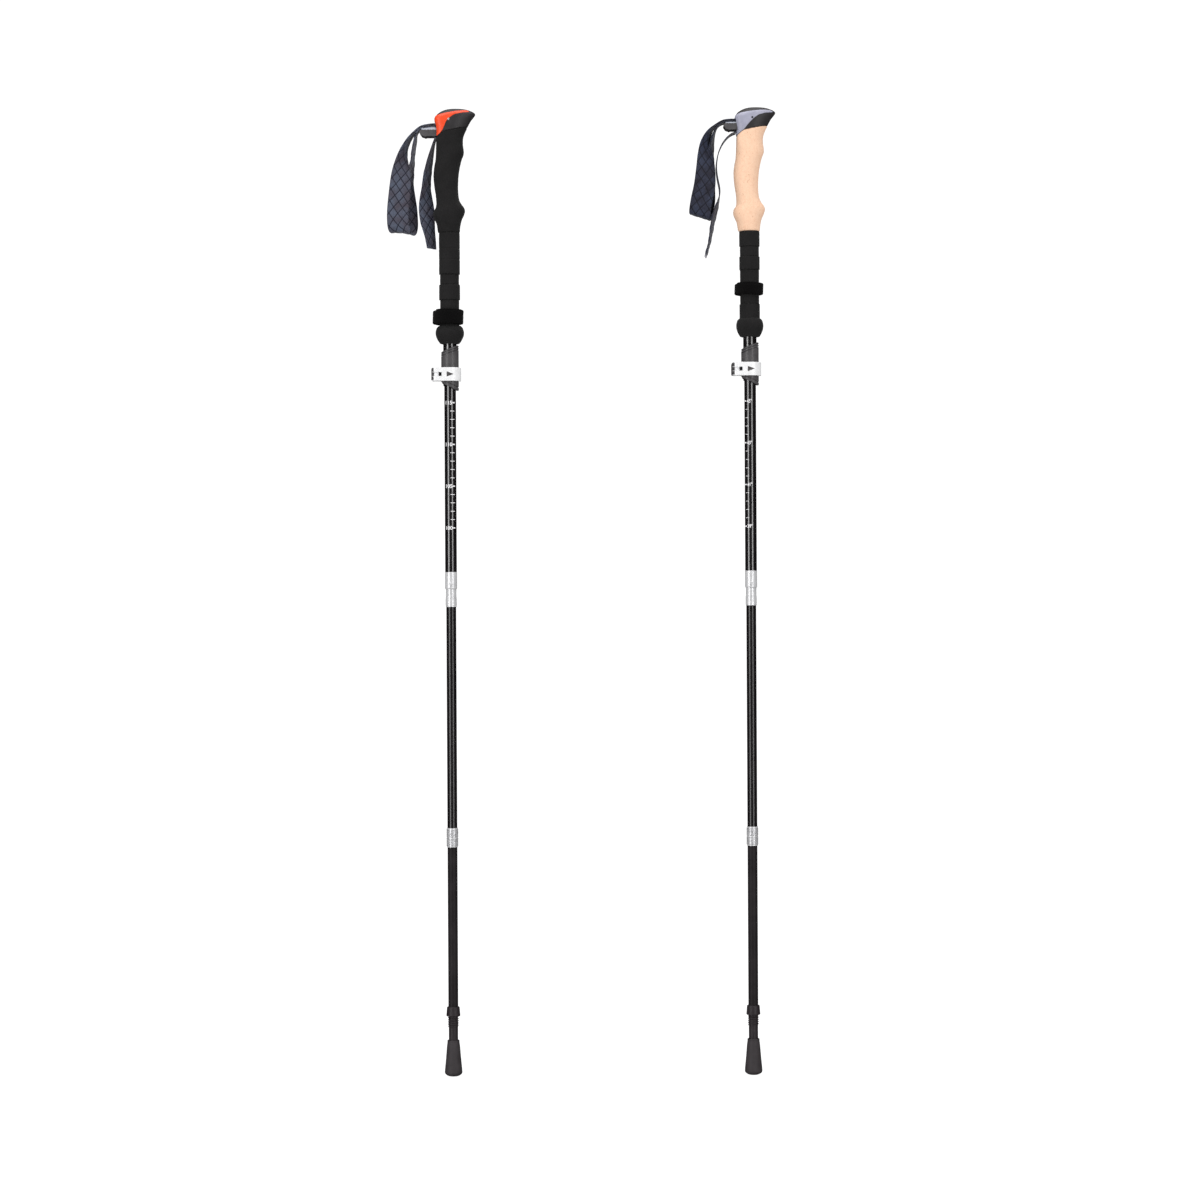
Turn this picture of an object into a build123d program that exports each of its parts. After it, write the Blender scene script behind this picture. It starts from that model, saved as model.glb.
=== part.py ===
from build123d import *
import os
from math import cos, radians, sin

# A pair of folding trekking poles, standing upright side by side.  Millimetres, +Z up.
# The origin is on the ground, under the middle of the pair's overall box.
# +X is the way the grips' beaks point; -X is the side that the wrist straps hang on.

os.makedirs("parts", exist_ok=True)

# ---------------------------------------------------------------- driving dimensions
pole_spacing = 360.0          # between the two pole axes
beak_reach = 32.0             # pole axis to the tip of a grip's beak
strap_reach = 74.1            # pole axis to the outermost edge of a wrist strap

tube_radius = (8.0, 7.0, 5.9)          # upper, middle and fold-away tubes, outside
slide_gap = 0.05                       # radial clearance of every running fit
seam_gap = 0.1                         # daylight between the two halves of a fold joint

# heights above the ground
foot_top = 43.2
thread_low, thread_high = 58.8, 72.0
flare_top = 83.3
seam_low, seam_high = 286.3, 574.4     # the two planes where the pole comes apart
ferrule_low, ferrule_high = 584.4, 604.6
collar_low, tube_low = 823.8, 828.0
lever_low, lever_high = 833.5, 849.6
mid_tube_top = 940.0
grip_low = 1011.6
upper_tube_top = 1122.0
head_top = 1160.2

upper_bore = tube_radius[1] + slide_gap
mid_bore = 6.4
shank_bore = 5.1
cord_radius = 1.4
cord_hole = 1.6

# lock
collar_radius = 10.5
barrel_x, barrel_y, barrel_radius = -15.9, -8.5, 2.9
cam_radius = 5.6
band_inner, band_outer = 10.9, 13.4
bolt_radius = 2.0
ear_end = -22.4
lever_mid = (lever_low + lever_high) / 2

# fold joints
seam_collar_radius = 6.65
seam_collar_height = 11.4
nose_height, nose_base, nose_tip = 5.0, 5.0, 2.5
nose_clearance = 0.15
spigot_play = 0.06

# strap
webbing = 1.6                 # thickness
narrow, wide = 20.0, 26.0     # width at the head and round the hand
slot_half_width = 10.6
wedge_half_width = 9.6
pin_z, pin_radius = 1148.6, 1.5
band_bore = 12.2              # the bundling band's inside, clear of the sleeve's waist

# Each pole: grip colour side, how high its strap slot sits, its sleeve, its band and its strap.
# sleeve: (height of each band's lower edge, radius), from the grip down to the end bulb
# strap stations: (x, y, z, width, turn, lean), turn 0 has the width along Y and 90 along X,
# and lean lowers the +X edge of webbing whose width is along X
left = {
    "name": "left",
    "slot_low": 1125.8, "slot_high": 1143.4, "wedge_out": -35.4,
    "sleeve": [(961.7, 12.5), (949.7, 11.4), (931.0, 12.5), (900.0, 11.4)],
    "bulb_low": 878.4, "bulb_radius": 17.3, "pin_x": -0.4, "lock_rise": 0.0, "collar_top_rise": 0.0,
    "band_low": 901.2, "band_high": 920.0, "band_reach": 18.5, "band_shift": -1.5,
    "loop": [
        (-13.0, 0, 1141.4, narrow, 0, 0), (-24, 0, 1140.6, narrow, 0, 0), (-33, 0, 1138.4, narrow, 0, 0),
        (-40, -0.6, 1132.8, narrow, 2, 0), (-47.4, -2, 1123.4, narrow, 9, 4), (-53, -4.5, 1111, narrow, 20, 8),
        (-55.8, -7, 1097, 21, 44, 10), (-57, -9, 1080, 24, 74, 11), (-58.6, -9.8, 1060, wide, 84, 10),
        (-60.8, -10, 1038, wide, 88, 8), (-60.8, -9.5, 1022.4, wide, 90, 8), (-59, -6.5, 1014.8, wide, 90, 8),
        (-55.6, 0, 1012.2, wide, 90, 8), (-52.4, 6.5, 1014.4, wide, 90, 8), (-50.9, 9.5, 1022.4, wide, 90, 5),
        (-51.6, 10, 1038, wide, 86, 0), (-51.8, 9.8, 1054, 24, 66, -4), (-50.6, 8.8, 1070, 22, 42, 0),
        (-47, 7, 1084, narrow, 22, 0), (-44.2, 5, 1097, narrow, 9, 0), (-42.8, 3.2, 1109, narrow, 7, 0),
        (-40.6, 1.4, 1121, narrow, 6, 0), (-38.4, 0, 1131.0, narrow, 0, 0), (-32.8, 0, 1136.2, narrow, 0, 0),
        (-24, 0, 1137.5, narrow, 0, 0), (-13.0, 0, 1138.4, narrow, 0, 0),
    ],
    "tail": [
        (-15.8, 0, 1125.2, narrow, 0, 0), (-18.4, 0, 1117, narrow, 4, 0), (-22.8, 0.5, 1098, narrow, 17, 0),
        (-26, 1.6, 1081, narrow, 25, 0), (-27.5, 3, 1066, narrow, 30, 0), (-27.9, 4.2, 1054, narrow, 46, 0),
        (-27.4, 5, 1040, narrow, 64, 0), (-26.3, 5, 1026, narrow, 58, 0), (-24.7, 4, 1015.6, narrow, 45, 0),
        (-22.8, 2.8, 1005, narrow, 36, 0), (-21.3, 2, 993, narrow, 31, 0),
    ],
}
right = {
    "name": "right",
    "slot_low": 1131.8, "slot_high": 1146.4, "wedge_out": -31.0,
    "sleeve": [(993.4, 12.2), (981.5, 11.4), (965.4, 12.2), (924.6, 11.4), (907.0, 12.2)],
    "bulb_low": 885.0, "bulb_radius": 16.4, "pin_x": 4.6, "lock_rise": 4.6, "collar_top_rise": 1.8,
    "band_low": 934.8, "band_high": 950.0, "band_reach": 17.1, "band_shift": -0.5,
    "loop": [
        (-13.0, 0, 1144.6, narrow, 0, 0), (-23, 0, 1144.8, narrow, 0, 0), (-32, 0, 1143.3, narrow, 0, 0),
        (-41, -0.6, 1137.4, narrow, 4, 0), (-47.2, -2, 1129, narrow, 20, 0), (-51.6, -4.8, 1116, narrow, 42, 4),
        (-52.4, -7.2, 1102, 22, 60, 8), (-52.3, -9.2, 1086, 24, 74, 10), (-53.6, -10, 1066, wide, 84, 14),
        (-57, -10, 1050, wide, 88, 17), (-59, -9.5, 1038.5, wide, 90, 18), (-59.4, -6.5, 1031.6, wide, 90, 18),
        (-58.8, 0, 1029.2, wide, 90, 18), (-57.4, 6.5, 1031.2, wide, 90, 17), (-55.8, 9.5, 1038, wide, 90, 14),
        (-53.2, 10, 1050, wide, 86, 10), (-51.8, 9.8, 1068, 24, 76, 4), (-49.4, 8.6, 1087, 22, 54, 0),
        (-46.4, 6, 1104, 21, 26, 0), (-43.9, 3.2, 1119, narrow, 13, 0), (-41.6, 1, 1129.6, narrow, 6, 0),
        (-37.8, 0, 1137, narrow, 0, 0), (-32, 0, 1141.2, narrow, 0, 0), (-23, 0, 1142.5, narrow, 0, 0),
        (-13.0, 0, 1142.5, narrow, 0, 0),
    ],
    "tail": [
        (-15.8, 0, 1129.8, narrow, 0, 0), (-21.5, 0, 1127.2, narrow, 0, 0), (-27.4, 0, 1122.4, narrow, 0, 0),
        (-32.8, 0, 1114.6, narrow, 0, 0), (-36.8, 0, 1104.8, narrow, 0, 0), (-38.8, 0, 1094, narrow, 0, 0),
        (-39.1, 0, 1085, narrow, 0, 0), (-37.9, 0, 1075, narrow, 0, 0), (-35.6, 0, 1063, narrow, 0, 0),
        (-35.5, 0, 1055, narrow, 1, 0), (-37.1, 0, 1047.5, narrow, 6, 0), (-39.2, 0, 1040, narrow, 12, 0),
        (-41.2, 0, 1033, narrow, 15, 0), (-43.4, 0, 1024.5, narrow, 14, 0), (-45.6, 0, 1012, narrow, 12, 0),
        (-47.8, 0, 999, narrow, 8, 0), (-50.6, 0, 988.6, narrow, 7, 0), (-52.8, 0, 981, narrow, 6, 0),
    ],
}

# side profile of grip and head: (height, back x, front x, half width across)
grip_sections = [
    (1011.6, -13.1, 13.2, 12.8), (1020, -16.6, 16.0, 14.6), (1031, -19.0, 19.0, 15.6),
    (1040, -18.2, 19.6, 15.4), (1054, -15.8, 14.0, 14.2), (1066, -16.2, 12.4, 14.0),
    (1080, -17.4, 12.6, 14.4), (1093, -16.8, 15.4, 14.8), (1108, -15.4, 18.6, 15.0),
    (1120, -14.4, 17.0, 14.6), (1128, -14.4, 18.0, 14.6), (1140, -16.2, 23.6, 15.4),
]
head_sections = [
    (1116, -14.7, 17.6, 14.7), (1120, -14.4, 17.0, 14.6), (1128, -14.4, 18.0, 14.6),
    (1134, -15.2, 20.6, 15.0), (1140, -16.2, 23.6, 15.4), (1146, -16.8, 26.8, 15.8),
    (1150, -16.2, 30.0, 15.6), (1153.4, -14.2, beak_reach, 14.6), (1156, -10.6, 28.4, 12.6),
    (1158.4, -5.5, 21.0, 9.4), (head_top, 3.0, 12.5, 4.5),
]
head_floor = [(-40, 1107.6), (-7, 1131.6), (40, 1141.2), (40, 1200), (-40, 1200)]
accent_skin = 1.3


# ---------------------------------------------------------------- building blocks
def rod(radius, low, high):
    bottom = (Align.CENTER, Align.CENTER, Align.MIN)
    return Pos(0, 0, low) * Cylinder(radius, high - low, align=bottom)


def cone(low_radius, high_radius, low, high):
    bottom = (Align.CENTER, Align.CENTER, Align.MIN)
    return Pos(0, 0, low) * Cone(low_radius, high_radius, high - low, align=bottom)


def pipe(outer, inner, low, high):
    return rod(outer, low, high) - rod(inner, low, high)


def block(x, y, z):
    centre = Pos((x[0] + x[1]) / 2, (y[0] + y[1]) / 2, (z[0] + z[1]) / 2)
    return centre * Box(x[1] - x[0], y[1] - y[0], z[1] - z[0])


def turned(*outline):
    """A solid of revolution about the pole axis from (radius, height) points."""
    return revolve(make_face(Polyline(*[(r, 0, z) for r, z in outline], close=True)), Axis.Z)


def side_prism(outline, half_width):
    """A solid with this outline in the XZ plane, as wide as stated each side of it."""
    face = make_face(Polyline(*[(x, 0, z) for x, z in outline], close=True))
    return extrude(face, amount=half_width, both=True)


def cross_rod(radius, x, z, y_low, y_high):
    """A cylinder along Y."""
    middle = Pos(x, (y_low + y_high) / 2, z)
    return middle * Rot(90, 0, 0) * Cylinder(radius, y_high - y_low)


def stacked(sections, ruled):
    """Oval sections joined into one solid."""
    ovals = []
    for z, back, front, half_width in sections:
        ovals.append(Pos((back + front) / 2, 0, z) * Ellipse((front - back) / 2, half_width))
    return loft(ovals, ruled=ruled)


def largest(shape):
    """The main solid of a shape, without the slivers that grazing cuts leave."""
    return shape.solids().sort_by(SortBy.VOLUME)[-1]


def ribbon(stations, thickness):
    """Flat webbing through stations of (x, y, z, width, turn, lean)."""
    centres = [Vector(x, y, z) for x, y, z, _, _, _ in stations]
    sections = []
    for i, (_, _, _, width, turn, lean) in enumerate(stations):
        along = centres[min(i + 1, len(centres) - 1)] - centres[max(i - 1, 0)]
        side = sin(radians(turn))
        across = Vector(side * cos(radians(lean)), cos(radians(turn)), -side * sin(radians(lean)))
        level = across - along.normalized() * across.dot(along.normalized())
        plane = Plane(origin=centres[i], x_dir=level, z_dir=along)
        sections.append(plane * Rectangle(width, thickness))
    return loft(sections, ruled=True)


# ---------------------------------------------------------------- handle
def upper_tube(pole):
    low = tube_low + pole["lock_rise"]
    slit = block((-9, 0), (-0.6, 0.6), (low, low + 28))
    return pipe(tube_radius[0], upper_bore, low, upper_tube_top) - slit


def wedge_pocket(pole):
    low = pole["slot_low"]
    strap_room = block((-30, 6), (-slot_half_width, slot_half_width), (low, pole["slot_high"]))
    tail_room = block((-30, -13.4), (-slot_half_width, slot_half_width), (low - 4, low + 1))
    return strap_room + tail_room


def hand_grip(pole):
    grip = stacked(grip_sections, ruled=False) - side_prism(head_floor, 30)
    grip -= rod(tube_radius[0], grip_low - 1, upper_tube_top) + rod(upper_bore, grip_low, 1150)
    return grip - wedge_pocket(pole)


def head_shell():
    return stacked(head_sections, ruled=True) & side_prism(head_floor, 30)


def head_accent(pole):
    inner = []
    for z, back, front, half_width in head_sections:
        skin = accent_skin
        inner.append((z - skin, back + skin, front - skin, half_width - skin))
    lower_edge = Spline((-13.6, 0, 1126.4), (-6, 0, 1135), (3, 0, 1144.6), (22.4, 0, 1154.6))
    upper_edge = Spline((22.4, 0, 1154.6), (6, 0, 1155.0), (-22, 0, 1153.6))
    back_edge = Polyline((-22, 0, 1153.6), (-22, 0, 1115), (-13.6, 0, 1126.4))
    side = extrude(make_face([lower_edge, upper_edge, back_edge]), amount=30, both=True)
    shell = (head_shell() - stacked(inner, ruled=True)) & side
    return largest(shell - wedge_pocket(pole) - cross_rod(pin_radius, pole["pin_x"], pin_z, -30, 30))


def head_core(pole, accent):
    plug = rod(upper_bore, 1112, 1150) - side_prism(head_floor, 30)
    core = head_shell() - accent + plug
    return largest(core - wedge_pocket(pole) - cross_rod(pin_radius, pole["pin_x"], pin_z, -30, 30))


def strap_pin(pole):
    return cross_rod(pin_radius, pole["pin_x"], pin_z, -14.9, 14.9)


def lower_sleeve(pole):
    sleeve = None
    top = grip_low
    for low, radius in pole["sleeve"]:
        band = rod(radius, low, top)
        sleeve = band if sleeve is None else sleeve + band
        top = low
    low = pole["bulb_low"]
    widest = pole["bulb_radius"]
    side = Spline((13.6, 0, top), (widest, 0, top - 8.2), (widest - 2.1, 0, low + 5), (11.3, 0, low))
    ends = Polyline((11.3, 0, low), (0, 0, low), (0, 0, top), (13.6, 0, top))
    bulb = revolve(make_face([side, ends]), Axis.Z)
    return sleeve + bulb - rod(tube_radius[0], low - 1, grip_low + 1)


def bundling_band(pole):
    low, high, reach = pole["band_low"], pole["band_high"], pole["band_reach"]
    middle = (low + high) / 2
    ring = Pos(pole["band_shift"], 0, low) * extrude(Ellipse(reach, reach - 0.8), high - low)
    ring -= rod(band_bore, low - 1, high + 1)
    return Pos(0, 0, middle) * Rot(0, 2.0, 0) * Pos(0, 0, -middle) * ring


def lock_collar(pole):
    trim = pole["collar_top_rise"] - pole["lock_rise"]
    body = rod(collar_radius, collar_low - 1, 880) - rod(tube_radius[0], tube_low, 881)
    body -= rod(upper_bore, collar_low - 2, tube_low + 1)
    top_cut = side_prism([(-12, 868.2 + trim), (12, 877.1 + trim), (12, 890), (-12, 890)], 15)
    foot_cut = side_prism([(-12, 833.4), (-9.5, 831.6), (12, 822.6), (12, 810), (-12, 810)], 15)
    ears = block((ear_end, -9), (-2.6, 6.0), (lever_low + 0.5, lever_high - 0.5))
    ears = fillet(ears.edges().filter_by(Axis.Z).group_by(Axis.X)[0], 1.8)
    body += ears - rod(collar_radius - 0.5, lever_low, lever_high)
    for offset in (0.0, -2.6):
        low = 865.0 + trim + offset
        line = [(-12, low), (12, low + 8.9), (12, low + 9.6), (-12, low + 0.7)]
        body -= side_prism(line, 15) & pipe(12, collar_radius - 0.45, 850, 880)
    body -= top_cut + foot_cut
    body -= block((-30, 0), (-0.6, 0.6), (collar_low - 2, 856))
    return body - cross_rod(bolt_radius + 0.1, barrel_x, lever_mid, -10, 10)


def lever_pin():
    pin = Pos(barrel_x, barrel_y, 0) * rod(barrel_radius, lever_low + 0.3, lever_high - 0.3)
    return pin - cross_rod(bolt_radius, barrel_x, lever_mid, barrel_y, 0)


def lock_bolt():
    shank = cross_rod(bolt_radius, barrel_x, lever_mid, barrel_y, 6.0)
    head = cross_rod(3.4, barrel_x, lever_mid, 6.0, 9.0)
    socket = Pos(barrel_x, 9.0, lever_mid) * Rot(90, 0, 0) * extrude(RegularPolygon(1.7, 6), 1.8)
    return shank + head - socket


def lock_lever():
    band = Circle(band_outer) - Circle(band_inner)
    band &= make_face(Polyline((0, 0), (20, 2.4), (20, -20), (-20, -20), (-20, -14), close=True))
    bridge = make_face(Polyline(
        (barrel_x - 1.0, barrel_y - cam_radius + 0.1), (-2.4, -13.18), (-2.0, -10.0), (-7.2, -7.4),
        (barrel_x + cam_radius - 0.3, barrel_y + 1.4), (barrel_x, barrel_y), close=True))
    plan = band + bridge + Pos(barrel_x, barrel_y) * Circle(cam_radius) - Circle(band_inner)
    lever = extrude(Pos(0, 0, lever_low) * plan, lever_high - lever_low)
    lever = chamfer(lever.faces().sort_by(Axis.Z)[-1].edges(), 0.35)
    lever = chamfer(lever.faces().sort_by(Axis.Z)[0].edges(), 0.35)
    lever -= block((-24, -9.4), (-18, 2), (lever_mid - 2.4, lever_mid + 2.4))
    return lever - Pos(barrel_x, barrel_y, 0) * rod(barrel_radius + slide_gap, 820, 860)


def strap_wedge(pole):
    low = pole["slot_low"]
    out = pole["wedge_out"]
    outline = [(out + 2.6, low + 8.6), (out, low + 6.4), (out + 3.0, low + 1.8), (out + 6.0, low + 0.4),
               (out + 19.0, low + 0.4), (out + 25.0, low + 1.4), (out + 25.0, low + 8.6)]
    wedge = side_prism(outline, wedge_half_width)
    for step in range(4):
        x = out + 4.4 + 4.0 * step
        wedge -= block((x - 0.7, x + 0.7), (-8.0, 8.0), (low + 8.0, low + 9.0))
    return wedge


# ---------------------------------------------------------------- middle section
def mid_tube():
    tube = rod(tube_radius[1], ferrule_high, mid_tube_top) + rod(6.8, 586, ferrule_high)
    return tube - rod(mid_bore, 585, mid_tube_top + 1) - button_hole()


def tube_stop():
    flange = rod(tube_radius[1], mid_tube_top, mid_tube_top + 1.6)
    return flange + rod(mid_bore, mid_tube_top - 14, mid_tube_top) - rod(4.8, 920, 950)


def button_hole():
    return cross_rod(2.0 + slide_gap, 0, 590.0, -12, -3)


def upper_ferrule():
    lip = 586.0
    outline = [(6.35, ferrule_low), (6.85, ferrule_low), (7.25, ferrule_low + 0.8),
               (7.25, ferrule_high - 0.3), (7.05, ferrule_high), (6.8, ferrule_high),
               (6.8, lip), (6.35, lip)]
    return turned(*outline) - button_hole()


def nose(base_height, swell):
    """The short cone that centres a fold joint, or, with some swell, the seat for it."""
    tip = base_height + nose_height
    return cone(nose_base + swell, nose_tip + swell, base_height, tip)


def tensioner_tube():
    seat_top = seam_high + 8.0
    body = rod(6.3, seam_high, 657) - rod(5.2, seat_top, 655) - rod(cord_hole, seam_high, 660)
    seat = nose(seam_high, nose_clearance) + rod(nose_tip, seam_high, seam_high + 5.2)
    return body - seat - button_hole()


def button_spring():
    legs = block((-2.2, 2.2), (-3.6, -3.25), (588, 606)) + block((-2.2, 2.2), (4.25, 4.6), (593, 606))
    bow = Pos(0, 0.5, 606) * Rot(0, 90, 0) * (Cylinder(4.1, 4.4) - Cylinder(3.75, 5))
    bow &= block((-3, 3), (-6, 6), (606, 612))
    return legs + bow - rod(1.75, 607, 613)


def snap_button():
    stem = cross_rod(2.0, 0, 590.0, -8.5, -4.3)
    stem = fillet(stem.faces().sort_by(Axis.Y)[0].edges(), 0.7)
    return stem + cross_rod(2.8, 0, 590.0, -4.3, -3.7)


def cord_upper():
    return rod(cord_radius, seam_high + 5.3, 657) + rod(3.2, 657, 663)


# ---------------------------------------------------------------- fold-away sections
def seam_collar(low, high, bore_low, bore_high, spigot):
    """A plain collar with bright lips, two fine grooves and a spigot into its tube."""
    r = seam_collar_radius
    collar = rod(r, low, high) - pipe(r + 1, r - 0.25, low + 0.9, low + 1.5)
    collar -= pipe(r + 1, r - 0.25, high - 1.5, high - 0.9)
    return collar + rod(shank_bore - spigot_play, *spigot) - rod(cord_hole, bore_low, bore_high)


def nose_collar(seam):
    """The upper end of a section: a collar with the centring nose on top."""
    low, high = seam - seam_collar_height, seam - seam_gap
    collar = seam_collar(low, high, low - 20, seam + 6, (low - 12, low))
    return collar + nose(high, -nose_clearance / 3) - rod(cord_hole, low - 20, seam + 6)


def seat_collar(seam):
    """The lower end of a section: a collar with the seat that takes the next section's nose."""
    high = seam + seam_collar_height
    collar = seam_collar(seam, high, seam - 1, high + 20, (high, high + 12))
    return collar - nose(seam, nose_clearance) - rod(nose_tip, seam, seam + 5.2)


def upper_shank_tube():
    low, high = seam_low + seam_collar_height, seam_high - seam_collar_height
    return pipe(tube_radius[2], shank_bore, low, high)


def cord_middle():
    return rod(cord_radius, seam_low + 5.3, seam_high + 4.8)


def lower_shank_tube():
    return pipe(tube_radius[2], shank_bore, flare_top, seam_low - seam_collar_height)


def tip_ferrule():
    plug = shank_bore - spigot_play
    body = turned((0, 14.0), (4.6, 14.0), (5.55, 16.0), (5.55, thread_low), (6.1, thread_low),
                  (6.5, thread_low + 0.5), (6.5, thread_high), (8.0, thread_high),
                  (8.4, thread_high + 0.6), (7.45, flare_top), (plug, flare_top),
                  (plug, flare_top + 16), (0, flare_top + 16))
    return body - rod(2.5, 13, 27) - rod(cord_hole, 88, 110)


def carbide_tip():
    stem = rod(2.5, 8.4, 27)
    crown = cone(1.9, 2.5, 6.6, 8.4) - cone(1.5, 0.1, 6.6, 8.0)
    return stem + crown


def cord_lower():
    return rod(cord_radius, 88, seam_low + 4.8)


def rubber_foot():
    outer = turned((0, 0), (6.4, 0), (8.6, 0.9), (10.0, 2.6), (10.6, 5.4), (10.4, 9.5),
                   (9.0, 22.0), (7.9, 36.0), (7.15, foot_top), (0, foot_top))
    bore = rod(5.55 + slide_gap, 5.5, foot_top + 1) + cone(5.7, 6.5, foot_top - 3, foot_top)
    return outer - bore


# ---------------------------------------------------------------- both poles
def pole_parts(pole):
    accent = head_accent(pole)
    raised = Pos(0, 0, pole["lock_rise"])
    return {
        "upper_tube": upper_tube(pole),
        "hand_grip": hand_grip(pole),
        "lower_sleeve": lower_sleeve(pole),
        "head_core": head_core(pole, accent),
        "head_accent": accent,
        "strap_pin": strap_pin(pole),
        "wrist_strap": ribbon(pole["loop"], webbing) + ribbon(pole["tail"], webbing),
        "bundling_band": bundling_band(pole),
        "lock_collar": raised * lock_collar(pole),
        "lock_bolt": raised * lock_bolt(),
        "lever_pin": raised * lever_pin(),
        "strap_wedge": strap_wedge(pole),
        "lock_lever": raised * lock_lever(),
        "mid_tube": mid_tube(),
        "tube_stop": tube_stop(),
        "upper_ferrule": upper_ferrule(),
        "tensioner_tube": tensioner_tube(),
        "button_spring": button_spring(),
        "cord_upper": cord_upper(),
        "snap_button": snap_button(),
        "upper_nose_collar": nose_collar(seam_high),
        "upper_shank_tube": upper_shank_tube(),
        "lower_seat_collar": seat_collar(seam_low),
        "cord_middle": cord_middle(),
        "lower_nose_collar": nose_collar(seam_low),
        "lower_shank_tube": lower_shank_tube(),
        "tip_ferrule": tip_ferrule(),
        "carbide_tip": carbide_tip(),
        "cord_lower": cord_lower(),
        "rubber_foot": rubber_foot(),
    }


centring = (strap_reach - beak_reach) / 2
for pole, side in ((left, -1), (right, 1)):
    place = Pos(side * pole_spacing / 2 + centring, 0, 0)
    for name, solid in pole_parts(pole).items():
        export_step(place * solid, f"parts/{pole['name']}_{name}.step")
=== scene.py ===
import math

import bmesh
import bpy
from mathutils import Matrix, Vector, noise


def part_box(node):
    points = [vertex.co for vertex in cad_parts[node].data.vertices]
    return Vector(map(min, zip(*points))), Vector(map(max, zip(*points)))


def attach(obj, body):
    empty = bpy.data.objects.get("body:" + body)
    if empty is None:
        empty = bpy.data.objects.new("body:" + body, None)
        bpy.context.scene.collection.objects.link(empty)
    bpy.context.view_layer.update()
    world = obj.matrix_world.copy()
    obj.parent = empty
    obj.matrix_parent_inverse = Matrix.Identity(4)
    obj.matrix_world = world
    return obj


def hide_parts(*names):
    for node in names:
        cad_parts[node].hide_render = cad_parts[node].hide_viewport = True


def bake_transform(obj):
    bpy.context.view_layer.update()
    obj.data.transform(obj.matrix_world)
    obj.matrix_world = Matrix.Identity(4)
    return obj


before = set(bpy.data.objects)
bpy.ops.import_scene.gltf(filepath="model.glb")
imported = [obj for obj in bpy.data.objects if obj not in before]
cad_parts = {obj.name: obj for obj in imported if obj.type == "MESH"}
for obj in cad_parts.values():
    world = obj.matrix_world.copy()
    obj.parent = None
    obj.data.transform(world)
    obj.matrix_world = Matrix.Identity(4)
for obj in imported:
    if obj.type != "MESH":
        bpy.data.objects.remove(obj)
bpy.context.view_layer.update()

MM = 0.001
TAU = 2 * math.pi
Z_AXIS = Vector((0, 0, 1))


# ------------------------------------------------------------------ small maths
def clamp(value, low=0.0, high=1.0):
    return max(low, min(high, value))


def ease(value):
    """Smooth step from 0 to 1."""
    t = clamp(value)
    return t * t * (3 - 2 * t)


def along(table, s):
    """Catmull-Rom through rows of numbers; s counts rows."""
    s = clamp(s, 0, len(table) - 1)
    i = min(int(s), len(table) - 2)
    f = s - i
    a, b, c, d = (table[int(clamp(i + k, 0, len(table) - 1))] for k in (-1, 0, 1, 2))
    return [0.5 * (2 * q + (r - p) * f + (2 * p - 5 * q + 4 * r - t) * f * f
                   + (3 * q - p - 3 * r + t) * f ** 3) for p, q, r, t in zip(a, b, c, d)]


def piecewise(points, x):
    """Height of a polyline at x; it runs straight on past its ends."""
    for (x0, y0), (x1, y1) in zip(points, points[1:]):
        if x <= x1 or (x1, y1) == tuple(points[-1]):
            return y0 + (y1 - y0) * (x - x0) / (x1 - x0)


def rounded(points, steps=4):
    """A polyline of (r, z, radius) with each corner turned into a small curve."""
    made = []
    for i, (x, y, radius) in enumerate(points):
        here = Vector((x, y))
        if radius <= 0 or i in (0, len(points) - 1):
            made.append((x, y))
            continue
        before = Vector(points[i - 1][:2]) - here
        after = Vector(points[i + 1][:2]) - here
        reach = min(radius, before.length * 0.48, after.length * 0.48)
        start, end = here + before.normalized() * reach, here + after.normalized() * reach
        for k in range(steps + 1):
            t = k / steps
            p = start * (1 - t) ** 2 + here * 2 * t * (1 - t) + end * t * t
            made.append((p.x, p.y))
    return made


# ------------------------------------------------------------------ mesh building
def skin(rings, wrap=True, cap_first=False, cap_last=False, join_ends=False):
    """Vertices and faces over rings of equal length."""
    count = len(rings[0])
    points = [p for ring in rings for p in ring]
    faces = []
    last = len(rings) if join_ends else len(rings) - 1
    for i in range(last):
        low, high = i * count, ((i + 1) % len(rings)) * count
        for j in range(count if wrap else count - 1):
            k = (j + 1) % count
            faces.append((low + j, low + k, high + k, high + j))
    if cap_first:
        faces.append(tuple(reversed(range(count))))
    if cap_last:
        faces.append(tuple(range((len(rings) - 1) * count, len(rings) * count)))
    return points, faces


def solid(name, points, faces, axis_x, paint, flat_angle=40):
    """An object from points in millimetres about a pole's axis."""
    mesh = bpy.data.meshes.new(name)
    mesh.from_pydata([(axis_x + p[0] * MM, p[1] * MM, p[2] * MM) for p in points], [], faces)
    mesh.materials.append(paint)
    made = bpy.data.objects.new(name, mesh)
    bpy.context.scene.collection.objects.link(made)
    soften(made, flat_angle)
    return made


def soften(item, flat_angle):
    """Smooth shading, with edges sharper than the angle kept."""
    mesh = item.data
    mesh.validate()
    for face in mesh.polygons:
        face.use_smooth = True
    mesh.set_sharp_from_angle(angle=math.radians(flat_angle))


def outward(item):
    """Makes the faces of a closed mesh point outwards."""
    work = bmesh.new()
    work.from_mesh(item.data)
    bmesh.ops.recalc_face_normals(work, faces=work.faces)
    work.to_mesh(item.data)
    work.free()


def closed(name, points, faces, axis_x, paint, flat_angle=40):
    """A solid whose faces all point outwards."""
    made = solid(name, points, faces, axis_x, paint, flat_angle)
    outward(made)
    return made


def gather(points, faces, part_points, part_faces):
    """Adds one part's points and faces to lists that already hold others."""
    base = len(points)
    points.extend(part_points)
    faces.extend(tuple(i + base for i in face) for face in part_faces)


def apply_all(item):
    """Turns the object's modifiers into its mesh."""
    graph = bpy.context.evaluated_depsgraph_get()
    mesh = bpy.data.meshes.new_from_object(item.evaluated_get(graph))
    item.modifiers.clear()
    item.data = mesh


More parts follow.
